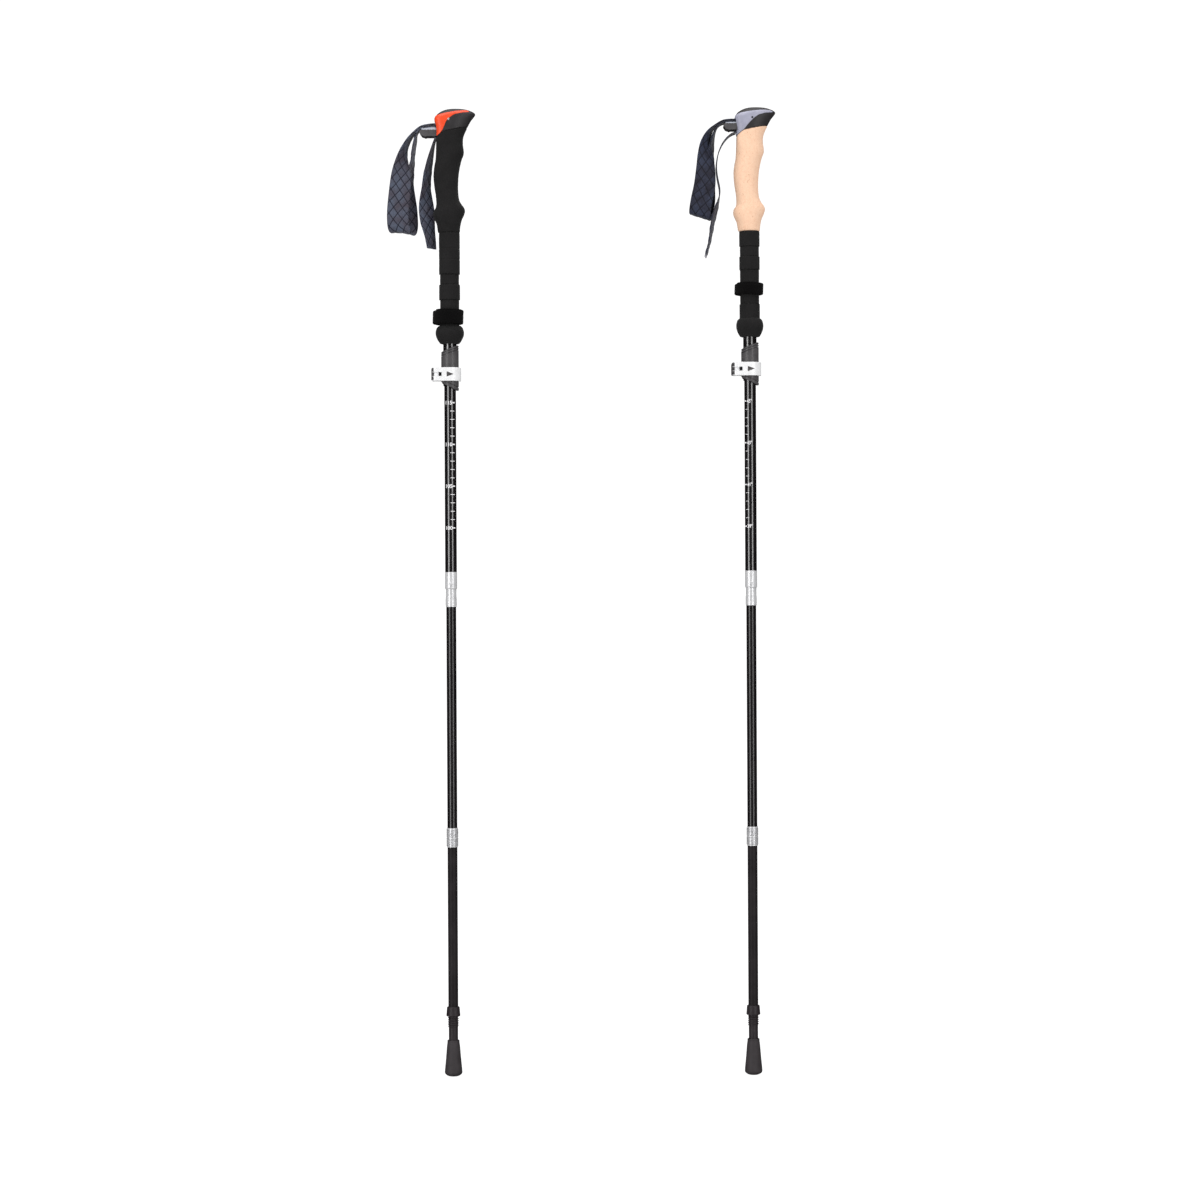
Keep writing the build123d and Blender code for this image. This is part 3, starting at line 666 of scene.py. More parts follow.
RIGHT = {
    "name": "right", "collar_top_rise": 1.8, "pin": "pin_dark", "accent": "accent_lavender",
    "grip": "cork", "webbing": "webbing_right",
    "slot": (1131.8, 1146.4), "wedge_out": -31.0, "highlight_cap_height": 1.4, "tail_plain": 80,
    "pin_shift": (-1.2, -2.4),
    "accent_low": [(-14.3, 1126.6), (-8.0, 1130.4), (-4.6, 1134.4), (-0.4, 1139.6), (5.4, 1145.4),
                   (11.6, 1149.8), (19.6, 1152.0), (27.8, 1153.2), (31, 1153.6)],
    "accent_high": [(-24, 1148.2), (-14.0, 1151.0), (-9.6, 1152.6), (-1.1, 1153.9), (8.2, 1155.0),
                    (17.4, 1155.9), (24.6, 1155.6), (28.4, 1154.5), (31, 1153.7)],
    "accent_tip": 28.2,
    "sleeve": [(993.4, 12.2), (981.5, 11.4), (965.4, 12.2), (924.6, 11.4), (907.0, 12.2)], "fine": (),
    "bulb": [(12.6, 907.0), (15.0, 905.0), (16.4, 899.6), (16.1, 894.6), (14.0, 888.8), (11.6, 885.0)],
    "band": (934.8, 950.0), "band_reach": 17.1, "band_shift": -0.5,
    "loop": [
        (-13.0, 0, 1144.6, 20, 0, 0), (-23, 0, 1144.8, 20, 0, 0), (-32, 0, 1143.3, 20, 0, 0),
        (-41, -0.6, 1137.4, 20, 4, 0), (-47.2, -2, 1129, 20, 20, 0), (-51.6, -4.8, 1116, 20, 42, 4),
        (-52.4, -7.2, 1102, 22, 60, 8), (-52.3, -9.2, 1086, 24, 74, 10), (-53.6, -10, 1066, 26, 84, 14),
        (-57, -10, 1050, 26, 88, 17), (-59, -9.5, 1038.5, 26, 90, 18), (-59.4, -6.5, 1031.6, 26, 90, 18),
        (-58.8, 0, 1029.2, 26, 90, 18), (-57.4, 6.5, 1031.2, 26, 90, 17), (-55.8, 9.5, 1038, 26, 90, 14),
        (-53.2, 10, 1050, 26, 86, 10), (-51.8, 9.8, 1068, 24, 76, 4), (-49.4, 8.6, 1087, 22, 54, 0),
        (-46.4, 6, 1104, 21, 26, 0), (-43.9, 3.2, 1119, 20, 13, 0), (-41.6, 1, 1129.6, 20, 6, 0),
        (-37.8, 0, 1137, 20, 0, 0), (-32, 0, 1141.2, 20, 0, 0), (-23, 0, 1142.5, 20, 0, 0),
        (-13.0, 0, 1142.5, 20, 0, 0),
    ],
    "tail": [
        (-15.8, 0, 1129.8, 20, 0, 0), (-21.5, 0, 1127.4, 20, 0, 0), (-27.4, 0, 1122.4, 20, 0, 0),
        (-32.8, 0, 1114.6, 20, 0, 0), (-36.8, 0, 1104.8, 20, 0, 0), (-38.8, 0, 1094, 20, 0, 0),
        (-39.1, 0, 1085, 20, 0, 0), (-37.9, 0, 1075, 20, 0, 0), (-35.6, 0, 1063, 20, 0, 0),
        (-35.5, 0, 1055, 20, 1, 0), (-37.1, 0, 1047.5, 20, 6, 0), (-39.2, 0, 1040, 20, 12, 0),
        (-41.2, 0, 1033, 20, 15, 0), (-43.4, 0, 1024.5, 20, 14, 0), (-45.6, 0, 1012, 20, 12, 0),
        (-47.8, 0, 999, 20, 8, 0), (-50.6, 0, 988.6, 20, 7, 0), (-52.8, 0, 981, 20, 6, 0),
    ],
    "scale": {"labels": ('45"', '43"', '41"', '39"'), "top": 807.9, "text": (-4.2, 1.6),
              "dash": (-6.7, -5.0), "tick": (-5.7, -2.4), "tick_height": 0.5},
}


# ------------------------------------------------------------------ pieces of one pole
def hand_grip(pole, axis_x):
    rings, columns, rows = [], 112, 150
    for theta in (TAU * k / columns for k in range(columns)):
        top = 1130.0
        for _ in range(12):
            top = piecewise(FLOOR_LINE, grip_point(top, theta).x) - SEAM
        column = []
        for k in range(rows + 1):
            t = k / rows
            z = GRIP_LOW + (top - GRIP_LOW) * t
            p = grip_point(z, theta)
            # both ends roll in a little
            low, high = z - GRIP_LOW, top - z
            tuck = 1.3 * (1 - math.sqrt(clamp(1 - (1 - clamp(low / 1.3)) ** 2)))
            tuck += 0.7 * (1 - math.sqrt(clamp(1 - (1 - clamp(high / 0.7)) ** 2)))
            inward = Vector((p.x, p.y, 0)).normalized()
            column.append(p - inward * tuck)
        rings.append(column)
    lower, upper = lathe([(GRIP_BORE, GRIP_LOW), (GRIP_BORE, GRIP_BORE_TOP)], columns)
    by_row = [[rings[k][row] for k in range(columns)] for row in range(rows + 1)]
    points, faces = skin([lower] + by_row + [upper], join_ends=True)
    made = closed(f"{pole['name']}_grip_body", points, faces, axis_x, PAINT[pole["grip"]], 50)
    roughen(made, 0.16 if pole["grip"] == "foam" else 0.10, 420, 1)
    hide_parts(f"{pole['name']}_hand_grip")
    return made


def head_envelope():
    """Rings of the head from the grip's top up."""
    columns, rows = 112, 70
    starts = [where_head(TAU * k / columns, lambda x: piecewise(FLOOR_LINE, x) + SEAM)
              for k in range(columns)]
    top = len(HEAD) - 1
    rings = []
    for row in range(rows + 1):
        t = row / rows
        ring = []
        for k in range(columns):
            theta = TAU * k / columns
            s = starts[k] + (top - starts[k]) * t
            p = head_point(s, theta)
            rise = p.z - head_point(starts[k], theta).z
            tuck = 0.6 * (1 - math.sqrt(clamp(1 - (1 - clamp(rise / 0.6)) ** 2)))
            inward = Vector((p.x, p.y, 0)).normalized()
            ring.append(p - inward * tuck)
        rings.append(ring)
    return rings


def head_pieces(pole, axis_x):
    name = pole["name"]
    low, high = pole["slot"]
    points, faces = skin(head_envelope(), cap_first=True, cap_last=True)
    core = closed(f"{name}_head_body", points, faces, axis_x, PAINT["head_plastic"], 50)
    cut(core, box_tool(*SLOT_REACH, (low, high), axis_x))
    soften(core, 50)
    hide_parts(f"{name}_head_core")

    def lower_edge(x):
        return max(piecewise(FLOOR_LINE, x) + SEAM + 0.05, piecewise(pole["accent_low"], x))

    def upper_edge(x):
        return piecewise(pole["accent_high"], x)

    # the column where the accent ends
    tip_angle = 0.3
    while tip_angle < 2.0:
        s = where_head(tip_angle, upper_edge)
        if head_point(s, tip_angle).x <= pole["accent_tip"]:
            break
        tip_angle += 0.004
    columns, rows = 150, 36
    sections = []
    for k in range(columns + 1):
        share = k / columns
        # columns crowd towards the tips
        spread = 0.5 - 0.5 * math.cos(math.pi * share)
        spread = 0.45 * spread + 0.55 * share
        theta = tip_angle + (TAU - 2 * tip_angle) * spread
        s_low, s_high = where_head(theta, lower_edge), where_head(theta, upper_edge)
        from_tip = min(k, columns - k) / columns
        pinch = math.sqrt(clamp(from_tip / 0.022))
        middle = (s_low + s_high) / 2
        s_low, s_high = middle + (s_low - middle) * pinch, middle + (s_high - middle) * pinch
        outer, inner = [], []
        for row in range(rows + 1):
            t = row / rows
            s = s_low + (s_high - s_low) * t
            p, n = head_point(s, theta), head_normal(s, theta)
            length = max(0.05, (head_point(s_high, theta) - head_point(s_low, theta)).length)
            edge = min(t, 1 - t) * length
            rise = 0.34 * math.sqrt(clamp(1 - (1 - clamp(edge / 0.5)) ** 2)) * min(1.0, pinch + 0.1) + 0.02
            outer.append(p + n * rise)
            inner.append(p - n * 0.8)
        sections.append(outer + list(reversed(inner)))
    points, faces = skin(sections, cap_first=True, cap_last=True)
    accent = closed(f"{name}_head_skin", points, faces, axis_x, PAINT[pole["accent"]], 50)
    cut(accent, box_tool(*SLOT_REACH, (low, high), axis_x))
    soften(accent, 50)
    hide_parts(f"{name}_head_accent")
    return [core, accent]


def strap_wedge(pole, axis_x):
    low, out = pole["slot"][0], pole["wedge_out"]
    outline = [(out + 2.6, low + 8.6, 1.4), (out, low + 6.4, 1.4), (out + 3.0, low + 1.8, 1.2),
               (out + 6.0, low + 1.0, 0.5), (out + 7.4, low + 0.15, 0.4),
               (out + 8.8, low + 1.0, 0.5), (out + 19.0, low + 0.9, 0.8),
               (out + 25.0, low + 1.4, 0.6), (out + 25.0, low + 8.6, 0.8)]
    teeth = []
    for step in range(6):
        x = out + 22.0 - 3.2 * step
        teeth += [(x + 0.9, low + 8.6, 0.2), (x, low + 8.0, 0.1), (x - 0.9, low + 8.6, 0.2)]
    loop = outline + teeth
    shape = rounded([loop[-1]] + loop + [loop[0]], 3)[1:-1]
    points, faces = prism(shape, -9.6, 9.6)
    made = closed(f"{pole['name']}_wedge_block", points, faces, axis_x, PAINT["wedge"], 35)
    bevel(made, 0.8, 3, 50)
    soften(made, 35)
    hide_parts(f"{pole['name']}_strap_wedge")
    return made


def wedge_highlight_cap(pole, axis_x):
    """Pale pad on top of the strap wedge: a painted highlight, its pale blue-grey standing in for the glint
    along the wedge's top.
    """
    low, out = pole["slot"][0] + 8.6, pole["wedge_out"]
    high = low + pole["highlight_cap_height"]
    outline = rounded([(out + 3.4, low - 0.4, 0), (out + 2.4, high - 0.8, 0.5), (out + 3.6, high, 0.6),
                       (out + 20.0, high, 0.8), (out + 21.6, low - 0.4, 0)])
    points, faces = prism(outline, -9.4, 9.4)
    made = closed(f"{pole['name']}_wedge_highlight_cap", points, faces, axis_x, PAINT["wedge_highlight_cap"], 35)
    bevel(made, 0.4, 2, 50)
    soften(made, 35)
    return made


def wrist_strap(pole, axis_x):
    loop = resampled(pole["loop"], 0.8)
    tail = resampled(pole["tail"], 0.8)
    length = loop[-1][3]
    parts = [ribbon(loop, 1.6, 30, quilting(48, length - 42)),
             ribbon(tail, 1.25, 24, quilting(pole["tail_plain"], 400))]
    made = ribbon_piece(f"{pole['name']}_strap_webbing", parts, axis_x, PAINT[pole["webbing"]])
    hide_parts(f"{pole['name']}_wrist_strap")
    return made, length + tail[-1][3]


def lower_sleeve(pole, axis_x):
    outline = [(GRIP_BORE, GRIP_LOW, 0)]
    top = GRIP_LOW
    previous = None
    for low, radius in pole["sleeve"]:
        if previous is not None:
            narrow = min(radius, previous)
            outline += [(narrow - 0.45, top + 0.35, 0.15), (narrow - 0.45, top - 0.35, 0.15),
                        (radius, top - 0.6, 0.4)]
        else:
            outline.append((radius, top, 0.9))
        for groove in pole["fine"]:
            if low < groove < top:
                outline += [(radius, groove + 0.7, 0.3), (radius - 0.35, groove, 0.3),
                            (radius, groove - 0.7, 0.3)]
        outline.append((radius, low, 0.5))
        top, previous = low, radius
    outline += [(r, z, 3.0) for r, z in pole["bulb"][:-1]]
    outline += [(*pole["bulb"][-1], 0.8), (GRIP_BORE, pole["bulb"][-1][1], 0)]
    fine = []
    shape = rounded(outline, 5)
    for (r0, z0), (r1, z1) in zip(shape, shape[1:]):
        pieces = max(1, int(math.hypot(r1 - r0, z1 - z0) / 1.6))
        fine += [(r0 + (r1 - r0) * k / pieces, z0 + (z1 - z0) * k / pieces) for k in range(pieces)]
    fine.append(shape[-1])
    points, faces = skin(lathe(fine, 88), join_ends=True)
    made = closed(f"{pole['name']}_sleeve_body", points, faces, axis_x, PAINT["foam"], 60)
    roughen(made, 0.14, 420, 2)
    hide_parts(f"{pole['name']}_lower_sleeve")
    return made


def bundling_band(pole, axis_x):
    """A hook-and-loop strip wound nearly two and a half turns."""
    low, high = pole["band"]
    middle, width = (low + high) / 2, high - low - 0.6
    samples, travelled, previous = [], 0.0, None
    turns, steps = 2.35, 300
    for k in range(steps + 1):
        t = k / steps
        angle = math.radians(200) + TAU * turns * t
        reach = 13.0 + (pole["band_reach"] - 13.1) * ease(t * 1.02) + 0.22 * math.sin(3 * angle + 1)
        x = pole["band_shift"] * ease(t * 2) + reach * 1.02 * math.cos(angle)
        y = reach * 0.97 * math.sin(angle)
        wave = 0.35 * math.sin(angle * 2 + 0.6) * t
        centre = Vector((x, y, middle + wave - 0.6 * (t > 0.55) * ease((t - 0.55) * 6)))
        travelled += (centre - previous).length if previous else 0.0
        previous = centre
        lean = Vector((math.sin(math.radians(2.0)), 0, math.cos(math.radians(2.0))))
        samples.append((centre, lean, width * (1 - 0.17 * ease((t - 0.45) * 3)), travelled))
    made = ribbon_piece(f"{pole['name']}_band_strip", [ribbon(samples, 1.35, 12)], axis_x,
                        PAINT["hook_and_loop"])
    roughen(made, 0.22, 700, 3)
    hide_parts(f"{pole['name']}_bundling_band")
    return made, travelled


def lock_rise(pole):
    """How much higher this pole's lock sits than the left one's."""
    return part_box(f"{pole['name']}_lock_lever")[0].z / MM - LEVER_LOW


def lock_collar(pole, axis_x):
    """Clamp body with a slanted top and foot, two ears and a slit."""
    segments = 120
    rise = lock_rise(pole)

    def top(x):
        return 872.65 + 0.371 * x + pole["collar_top_rise"]

    def foot(x):
        return rise + (827.0 - 0.4186 * (x + 1.0) if x > -9.5 else 831.6 + 0.72 * (-9.5 - x))

    rows = [(8.05, 0.0, 0.0), (9.7, 0.0, 0.0), (10.3, 0.0, 0.35), (10.5, 0.0, 1.1)]
    rows += [(10.5, 0.0, 3.2), (9.6, 0.0, 3.6), (9.6, 0.0, 4.2), (10.5, 0.0, 4.6)]
    rows += [(10.5, t, 0.0) for t in (0.3, 0.5, 0.7, 0.85)]
    for drop in (5.2, 2.4):
        rows += [(10.5, 1.0, -drop - 0.6), (9.5, 1.0, -drop - 0.35),
                 (9.5, 1.0, -drop + 0.35), (10.5, 1.0, -drop + 0.6)]
    rows += [(10.5, 1.0, -1.2), (10.3, 1.0, -0.4), (9.7, 1.0, 0.0), (8.05, 1.0, 0.0)]
    rings = []
    for r, share, offset in rows:
        ring = []
        for k in range(segments):
            angle = TAU * k / segments
            x = 10.5 * math.cos(angle)
            z = foot(x) + (top(x) - foot(x)) * share + offset
            ring.append((r * math.cos(angle), r * math.sin(angle), z))
        rings.append(ring)
    points, faces = skin(rings, join_ends=True)
    made = closed(f"{pole['name']}_clamp_body", points, faces, axis_x, PAINT["lock_plastic"], 35)
    ear_low, ear_high = 834.0 + rise, 849.1 + rise
    ear_outline = rounded([(-16, ear_low, 0), (-22.4, ear_low, 2.0), (-22.4, ear_high, 2.0),
                           (-16, ear_high, 0), (-9.2, ear_high, 0), (-9.2, ear_low, 0)])
    ears = closed("ears", *prism(ear_outline, -2.6, 6.0), axis_x, PAINT["lock_plastic"])
    bevel(ears, 0.5, 2, 40)
    cut(made, ears, "UNION")
    cut(made, box_tool((-30, -3), (-0.55, 0.55), (800, 857 + rise), axis_x))
    soften(made, 35)
    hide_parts(f"{pole['name']}_lock_collar")
    return made


def on_tube(points, radius):
    """Wraps flat (arc length, height, lift) points round the front of a tube."""
    made = []
    for u, z, lift in points:
        angle = u / radius
        made.append(((radius + lift) * math.sin(angle), -(radius + lift) * math.cos(angle), z))
    return made


def patch(u0, u1, z0, z1, radius):
    """A thin printed bar on a tube, as points and faces."""
    steps = max(2, int(abs(u1 - u0) / 0.5))
    rings = []
    for k in range(steps + 1):
        u = u0 + (u1 - u0) * k / steps
        rings.append(on_tube([(u, z0, -0.02), (u, z0, PRINT_LIFT),
                              (u, z1, PRINT_LIFT), (u, z1, -0.02)], radius))
    return skin(rings, cap_first=True, cap_last=True)


def arc(x, radius):
    return radius * math.asin(clamp(x / radius, -0.995, 0.995))


def height_scale(pole, axis_x):
    """Printed height marks on the middle tube: numbers, dashes and ticks."""
    spec, radius = pole["scale"], MID_TUBE_RADIUS
    points, faces = [], []

    def bar(span, z, half):
        """A printed bar between two places across the tube."""
        u0, u1 = (arc(x, radius) for x in span)
        gather(points, faces, *patch(u0, u1, z - half, z + half, radius))

    for index, label in enumerate(spec["labels"]):
        height = spec["top"] - LABEL_STEP * index
        text = bpy.data.curves.new("label", "FONT")
        text.body, text.size, text.offset = label, 1.0, 0.02
        text.resolution_u = 3
        holder = bpy.data.objects.new("label", text)
        bpy.context.scene.collection.objects.link(holder)
        bpy.context.view_layer.update()
        flat = bpy.data.meshes.new_from_object(holder.evaluated_get(bpy.context.evaluated_depsgraph_get()))
        bpy.data.objects.remove(holder)
        xs = [v.co.x for v in flat.vertices]
        x_low, x_high = min(xs), max(xs)
        cuts = bmesh.new()
        cuts.from_mesh(flat)
        for k in range(1, LABEL_COLUMNS):
            everything = cuts.verts[:] + cuts.edges[:] + cuts.faces[:]
            across = (x_low + (x_high - x_low) * k / LABEL_COLUMNS, 0, 0)
            bmesh.ops.bisect_plane(cuts, geom=everything, plane_co=across, plane_no=(1, 0, 0))
        cuts.to_mesh(flat)
        cuts.free()
        ys = [v.co.y for v in flat.vertices]
        y_low, y_high = min(ys), max(ys)
        u0, u1 = (arc(x, radius) for x in spec["text"])
        wide, tall = (u1 - u0) / (x_high - x_low), LABEL_HEIGHT / (y_high - y_low)
        place = [(u0 + (v.co.x - x_low) * wide, height - LABEL_HEIGHT / 2 + (v.co.y - y_low) * tall)
                 for v in flat.vertices]
        gather(points, faces, on_tube([(u, z, PRINT_LIFT) for u, z in place], radius),
               [tuple(face.vertices) for face in flat.polygons])
        bar(spec["dash"], height, DASH_HALF)
        if index == len(spec["labels"]) - 1:
            continue
        for step in range(1, 5):
            bar(spec["tick"], height - MARK_STEP * step, spec["tick_height"] / 2)
    made = solid(f"{pole['name']}_height_marks", points, faces, axis_x, PAINT["print_white"], 30)
    return made


def lever_front(x, lift):
    """The lever's front face at x: round the collar, then flat towards its barrel."""
    if x < -2.4:
        return -13.2 - (x + 2.4) * 0.0552 - lift
    return -math.sqrt((13.4 + lift) ** 2 - x * x)


def lever_mark(pole, axis_x):
    """Dark triangle on the lever that points the way it closes."""
    middle = 841.55 + lock_rise(pole)
    rings = []
    for k in range(17):
        t = k / 16
        x = -4.9 + 9.9 * t
        half = 3.7 * (1 - t) + 0.05
        rings.append([(x, lever_front(x, lift), middle + side * half)
                      for side, lift in ((-1, -0.1), (-1, 0.09), (1, 0.09), (1, -0.1))])
    points, faces = skin(rings, cap_first=True, cap_last=True)
    made = closed(f"{pole['name']}_lever_mark", points, faces, axis_x, PAINT["print_grey"], 30)
    return made


def lever_end_shade(pole, axis_x):
    """Black half-rings round the outer half of the lever's barrel: painted shade, a dark piece standing in
    for the shadow of the collar's ear at the lever's rounded end.
    """
    points, faces = [], []
    for low, high in ((834.4, 838.8), (844.3, 848.7)):
        low, high = low + lock_rise(pole), high + lock_rise(pole)
        shape = rounded([(5.4, low, 0), (5.82, low, 0.2), (5.82, high, 0.2), (5.4, high, 0)])
        rings = []
        for k in range(25):
            angle = math.radians(118 + 118 * k / 24)
            rings.append([(BARREL[0] + r * math.cos(angle), BARREL[1] + r * math.sin(angle), z)
                          for r, z in shape])
        gather(points, faces, *skin(rings, cap_first=True, cap_last=True))
    made = closed(f"{pole['name']}_lever_end_shade", points, faces, axis_x, PAINT["lock_plastic"], 30)
    return made


def collar_rings(name, low, high, axis_x):
    """Fine turned ribs round one half of the lower fold joint."""
    profile, z, pitch = [(6.5, low)], low, 1.6
    while z + pitch < high + 0.01:
        for share, r in ((0.0, 6.66), (0.14, 6.66), (0.3, 7.0), (0.55, 7.08), (0.84, 7.0), (1.0, 6.66)):
            profile.append((r, z + pitch * share))
        z += pitch
    profile.append((6.5, z))
    points, faces = skin(lathe(profile, 72), join_ends=True)
    made = closed(name, points, faces, axis_x, PAINT["ribbed_aluminium"], 50)
    return made


def pin_rod(pole, axis_x):
    """Cross pin of the strap, with domed ends that show on both sides of the head."""
    node_low, node_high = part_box(f"{pole['name']}_strap_pin")
    x = ((node_low.x + node_high.x) / 2 - axis_x) / MM + pole["pin_shift"][0]
    z = (node_low.z + node_high.z) / 2 / MM + pole["pin_shift"][1]
    profile = [(0.05, -1.0), (0.9, -0.96), (1.3, -0.8), (1.5, -0.5),
               (1.5, 0.5), (1.3, 0.8), (0.9, 0.96), (0.05, 1.0)]
    ends = [(r, -15.2 + y if y < 0 else 15.2 + y) for r, y in profile]
    rings = [[(x + r * math.cos(TAU * k / 24), y, z + r * math.sin(TAU * k / 24)) for k in range(24)]
             for r, y in ends]
    points, faces = skin(rings, cap_first=True, cap_last=True)
    made = closed(f"{pole['name']}_pin_rod", points, faces, axis_x, PAINT[pole["pin"]], 50)
    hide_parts(f"{pole['name']}_strap_pin")
    return made


def tip_ferrule(pole, axis_x):
    """Smooth shank, screw thread for a basket and flared collar."""
    pitch = 2.6

    def threaded(r, z, angle):
        if not THREAD_LOW < z < THREAD_HIGH:
            return r
        phase = (z / pitch + angle / TAU) % 1.0
        ridge = ease(1 - abs(phase - 0.5) / 0.32) if abs(phase - 0.5) < 0.32 else 0.0
        fade = ease((z - THREAD_LOW) / 1.2) * ease((THREAD_HIGH - z) / 1.2)
        return THREAD_CORE + 0.88 * ridge * fade

    lower = rounded([(0.05, 14.0, 0), (4.6, 14.0, 0.4), (5.55, 16.0, 0.6), (5.55, 58.8, 0),
                     (THREAD_CORE, THREAD_LOW, 0)])
    thread = [(THREAD_CORE, THREAD_LOW + 13.0 * k / 84) for k in range(1, 84)]
    upper = rounded([(THREAD_CORE, 72.0, 0), (7.9, 72.0, 0.5), (8.4, 72.8, 0.4), (7.55, 82.7, 0.5),
                     (7.1, 83.3, 0.3), (5.2, 83.3, 0.3), (4.35, 83.6, 0.2), (4.35, 99.0, 0.2),
                     (0.05, 99.0, 0)])
    points, faces = skin(lathe(lower + thread + upper, 72, threaded), cap_first=True, cap_last=True)
    made = closed(f"{pole['name']}_tip_body", points, faces, axis_x, PAINT["tip_plastic"], 45)
    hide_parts(f"{pole['name']}_tip_ferrule")
    return made


def rubber_foot(pole, axis_x):
    """Slip-on foot: rolled rim, waist, flared sole with a dished tread."""
    outline = [(0.05, 0.9, 0), (2.6, 0.9, 0.3), (3.0, 0.05, 0.3), (5.4, 0.2, 1.0), (8.2, 1.4, 2.0),
               (10.15, 3.0, 0.8), (10.6, 4.8, 0.8), (10.3, 9.0, 2.0), (9.0, 22.0, 3.0),
               (7.9, 36.0, 2.0), (7.2, 41.2, 0.5), (7.3, 41.9, 0.4), (7.15, 43.2, 0.3),
               (6.45, 43.2, 0.2), (5.85, 40.2, 0.6), (5.62, 6.0, 0.2), (0.05, 6.0, 0)]
    shape = rounded(outline, 5)
    points, faces = skin(lathe(shape, 80), cap_first=True, cap_last=True)
    made = closed(f"{pole['name']}_foot_body", points, faces, axis_x, PAINT["foot_rubber"], 50)
    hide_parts(f"{pole['name']}_rubber_foot")
    return made


def tension_cord(name, low, high, seam, stopper, axis_x):
    """A braided cord inside the tubes, fine-stepped where it bends at a seam."""
    heights = []
    z = low
    while z < high:
        heights.append(z)
        z += 0.25 if abs(z - seam) < 7 else 4.0
    heights.append(high)
    profile = [(1.4, z) for z in heights]
    if stopper:
        profile += [(3.1, high), (3.1, high + 5.4), (2.6, high + 6.0)]
    rings = lathe(profile, 20)
    points, faces = skin(rings, cap_first=True, cap_last=True)
    made = closed(name, points, faces, axis_x, PAINT["tension_cord"], 50)
    layer = made.data.uv_layers.new(name="run")
    for loop in made.data.loops:
        i = loop.vertex_index
        layer.data[loop.index].uv = ((i % 20) / 20 * 2, points[i][2] / 8)
    return made


def build(pole):
    name = pole["name"]
    low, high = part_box(f"{name}_mid_tube")
    axis_x = (low.x + high.x) / 2
    for part, finish in KEPT.items():
        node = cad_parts[f"{name}_{part}"]
        for place in node.material_slots:
            place.material = PAINT[finish]
        for face in node.data.polygons:
            face.use_smooth = True
        node.data.set_sharp_from_angle(angle=math.radians(32))

    handle = [hand_grip(pole, axis_x), *head_pieces(pole, axis_x), pin_rod(pole, axis_x),
              lower_sleeve(pole, axis_x), lock_collar(pole, axis_x)]
    strap, strap_length = wrist_strap(pole, axis_x)
    band, band_length = bundling_band(pole, axis_x)
    for item in handle + [strap, band]:
        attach(item, f"{name}_handle")
    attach(strap_wedge(pole, axis_x), f"{name}_wedge")
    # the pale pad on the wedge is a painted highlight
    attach(wedge_highlight_cap(pole, axis_x), f"{name}_wedge")
    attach(lever_mark(pole, axis_x), f"{name}_lever")
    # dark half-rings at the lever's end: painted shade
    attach(lever_end_shade(pole, axis_x), f"{name}_lever")
    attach(collar_rings(f"{name}_seat_ribs", SEAM_LOW + 0.5, SEAM_LOW + 10.1, axis_x), f"{name}_upper_shank")
    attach(collar_rings(f"{name}_nose_ribs", SEAM_LOW - 10.1, SEAM_LOW - 0.5, axis_x), f"{name}_lower_shank")
    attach(height_scale(pole, axis_x), f"{name}_middle")
    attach(tip_ferrule(pole, axis_x), f"{name}_lower_shank")
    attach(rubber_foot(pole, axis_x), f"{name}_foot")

    upper = tension_cord(f"{name}_cord_long", 430.0, 657.0, SEAM_HIGH, True, axis_x)
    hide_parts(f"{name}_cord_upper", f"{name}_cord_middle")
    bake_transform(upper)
    lower = tension_cord(f"{name}_cord_short", 88.0, 430.0, SEAM_LOW, False, axis_x)
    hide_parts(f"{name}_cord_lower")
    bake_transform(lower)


for pole in (LEFT, RIGHT):
    build(pole)


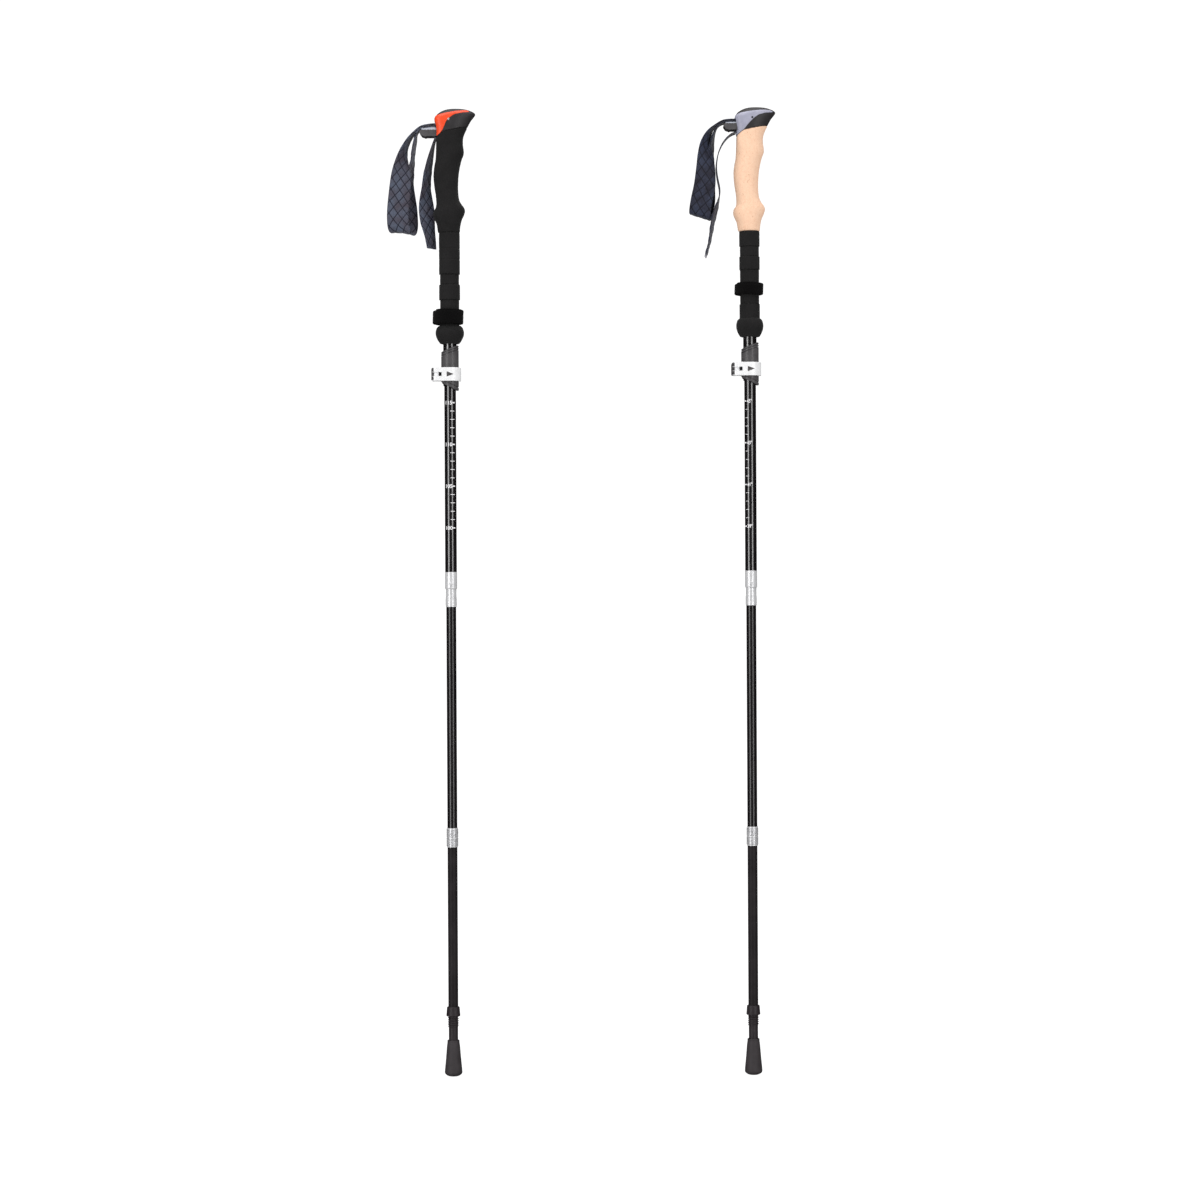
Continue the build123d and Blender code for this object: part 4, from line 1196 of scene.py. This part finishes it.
# ------------------------------------------------------------------ studio
def studio():
    """Pale seamless bowl, two tall strip boxes in front and a broad one above."""
    profile = [(0.001, 0.0), (1.0, 0.0), (3.0, 0.0), (5.0, 0.0)]
    for k in range(1, 13):
        a = math.pi / 2 * k / 12
        profile.append((5.0 + 2.0 * math.sin(a), 2.0 - 2.0 * math.cos(a)))
    profile += [(7.0, 5.0), (6.6, 8.0), (0.001, 9.0)]
    points, faces = skin(lathe([(r * 1000, z * 1000) for r, z in profile]))
    paint = Paint("studio_white", Base_Color=(0.22, 0.22, 0.22), Roughness=0.9, Specular_IOR_Level=0.0,
                  Emission_Color=(1, 1, 1), Emission_Strength=0.94)
    bowl = solid("studio_bowl", points, faces, 0.0, paint.material, 60)
    bowl.visible_glossy = bowl.visible_diffuse = bowl.visible_shadow = bowl.visible_transmission = False

    def strip(azimuth, distance, width, low, high, radiance):
        light = bpy.data.lights.new("strip", "AREA")
        light.shape, light.size, light.size_y = "RECTANGLE", width, high - low
        light.energy = radiance * math.pi * width * (high - low)
        lamp = bpy.data.objects.new("strip", light)
        a = math.radians(azimuth)
        place = Vector((math.sin(a) * distance, -math.cos(a) * distance, (low + high) / 2))
        outwards = Vector((place.x, place.y, 0)).to_track_quat("Z", "Y")
        lamp.matrix_world = Matrix.LocRotScale(place, outwards, None)
        bpy.context.scene.collection.objects.link(lamp)

    strip(-43, 2.3, 0.72, -0.5, 2.7, 3.0)
    strip(36, 2.3, 0.60, -0.5, 2.7, 2.7)

    top = bpy.data.lights.new("overhead", "AREA")
    top.shape, top.size, top.size_y, top.energy = "RECTANGLE", 4.0, 4.0, 1.7 * math.pi * 16
    lamp = bpy.data.objects.new("overhead", top)
    lamp.location = (0, 0, 4.2)
    bpy.context.scene.collection.objects.link(lamp)

    world = bpy.data.worlds.new("fill")
    world.use_nodes = True
    world.node_tree.nodes["Background"].inputs[0].default_value = (1, 1, 1, 1)
    world.node_tree.nodes["Background"].inputs[1].default_value = 0.60
    world.cycles_visibility.glossy = False
    bpy.context.scene.world = world


def camera():
    """Square on to the pair at mid height, level but for a slight roll."""
    data = bpy.data.cameras.new("camera")
    across, distance, frame_width, height = 0.0196, 3.5, 1.44, 0.5703
    data.lens = data.sensor_width * distance / frame_width
    view = bpy.data.objects.new("camera", data)
    turn = Matrix.Rotation(math.radians(90), 4, "X") @ Matrix.Rotation(math.radians(-0.3), 4, "Z")
    view.matrix_world = Matrix.Translation((across, -distance, height)) @ turn
    bpy.context.scene.collection.objects.link(view)
    bpy.context.scene.camera = view


studio()
camera()
bpy.context.scene.view_settings.view_transform = "Standard"
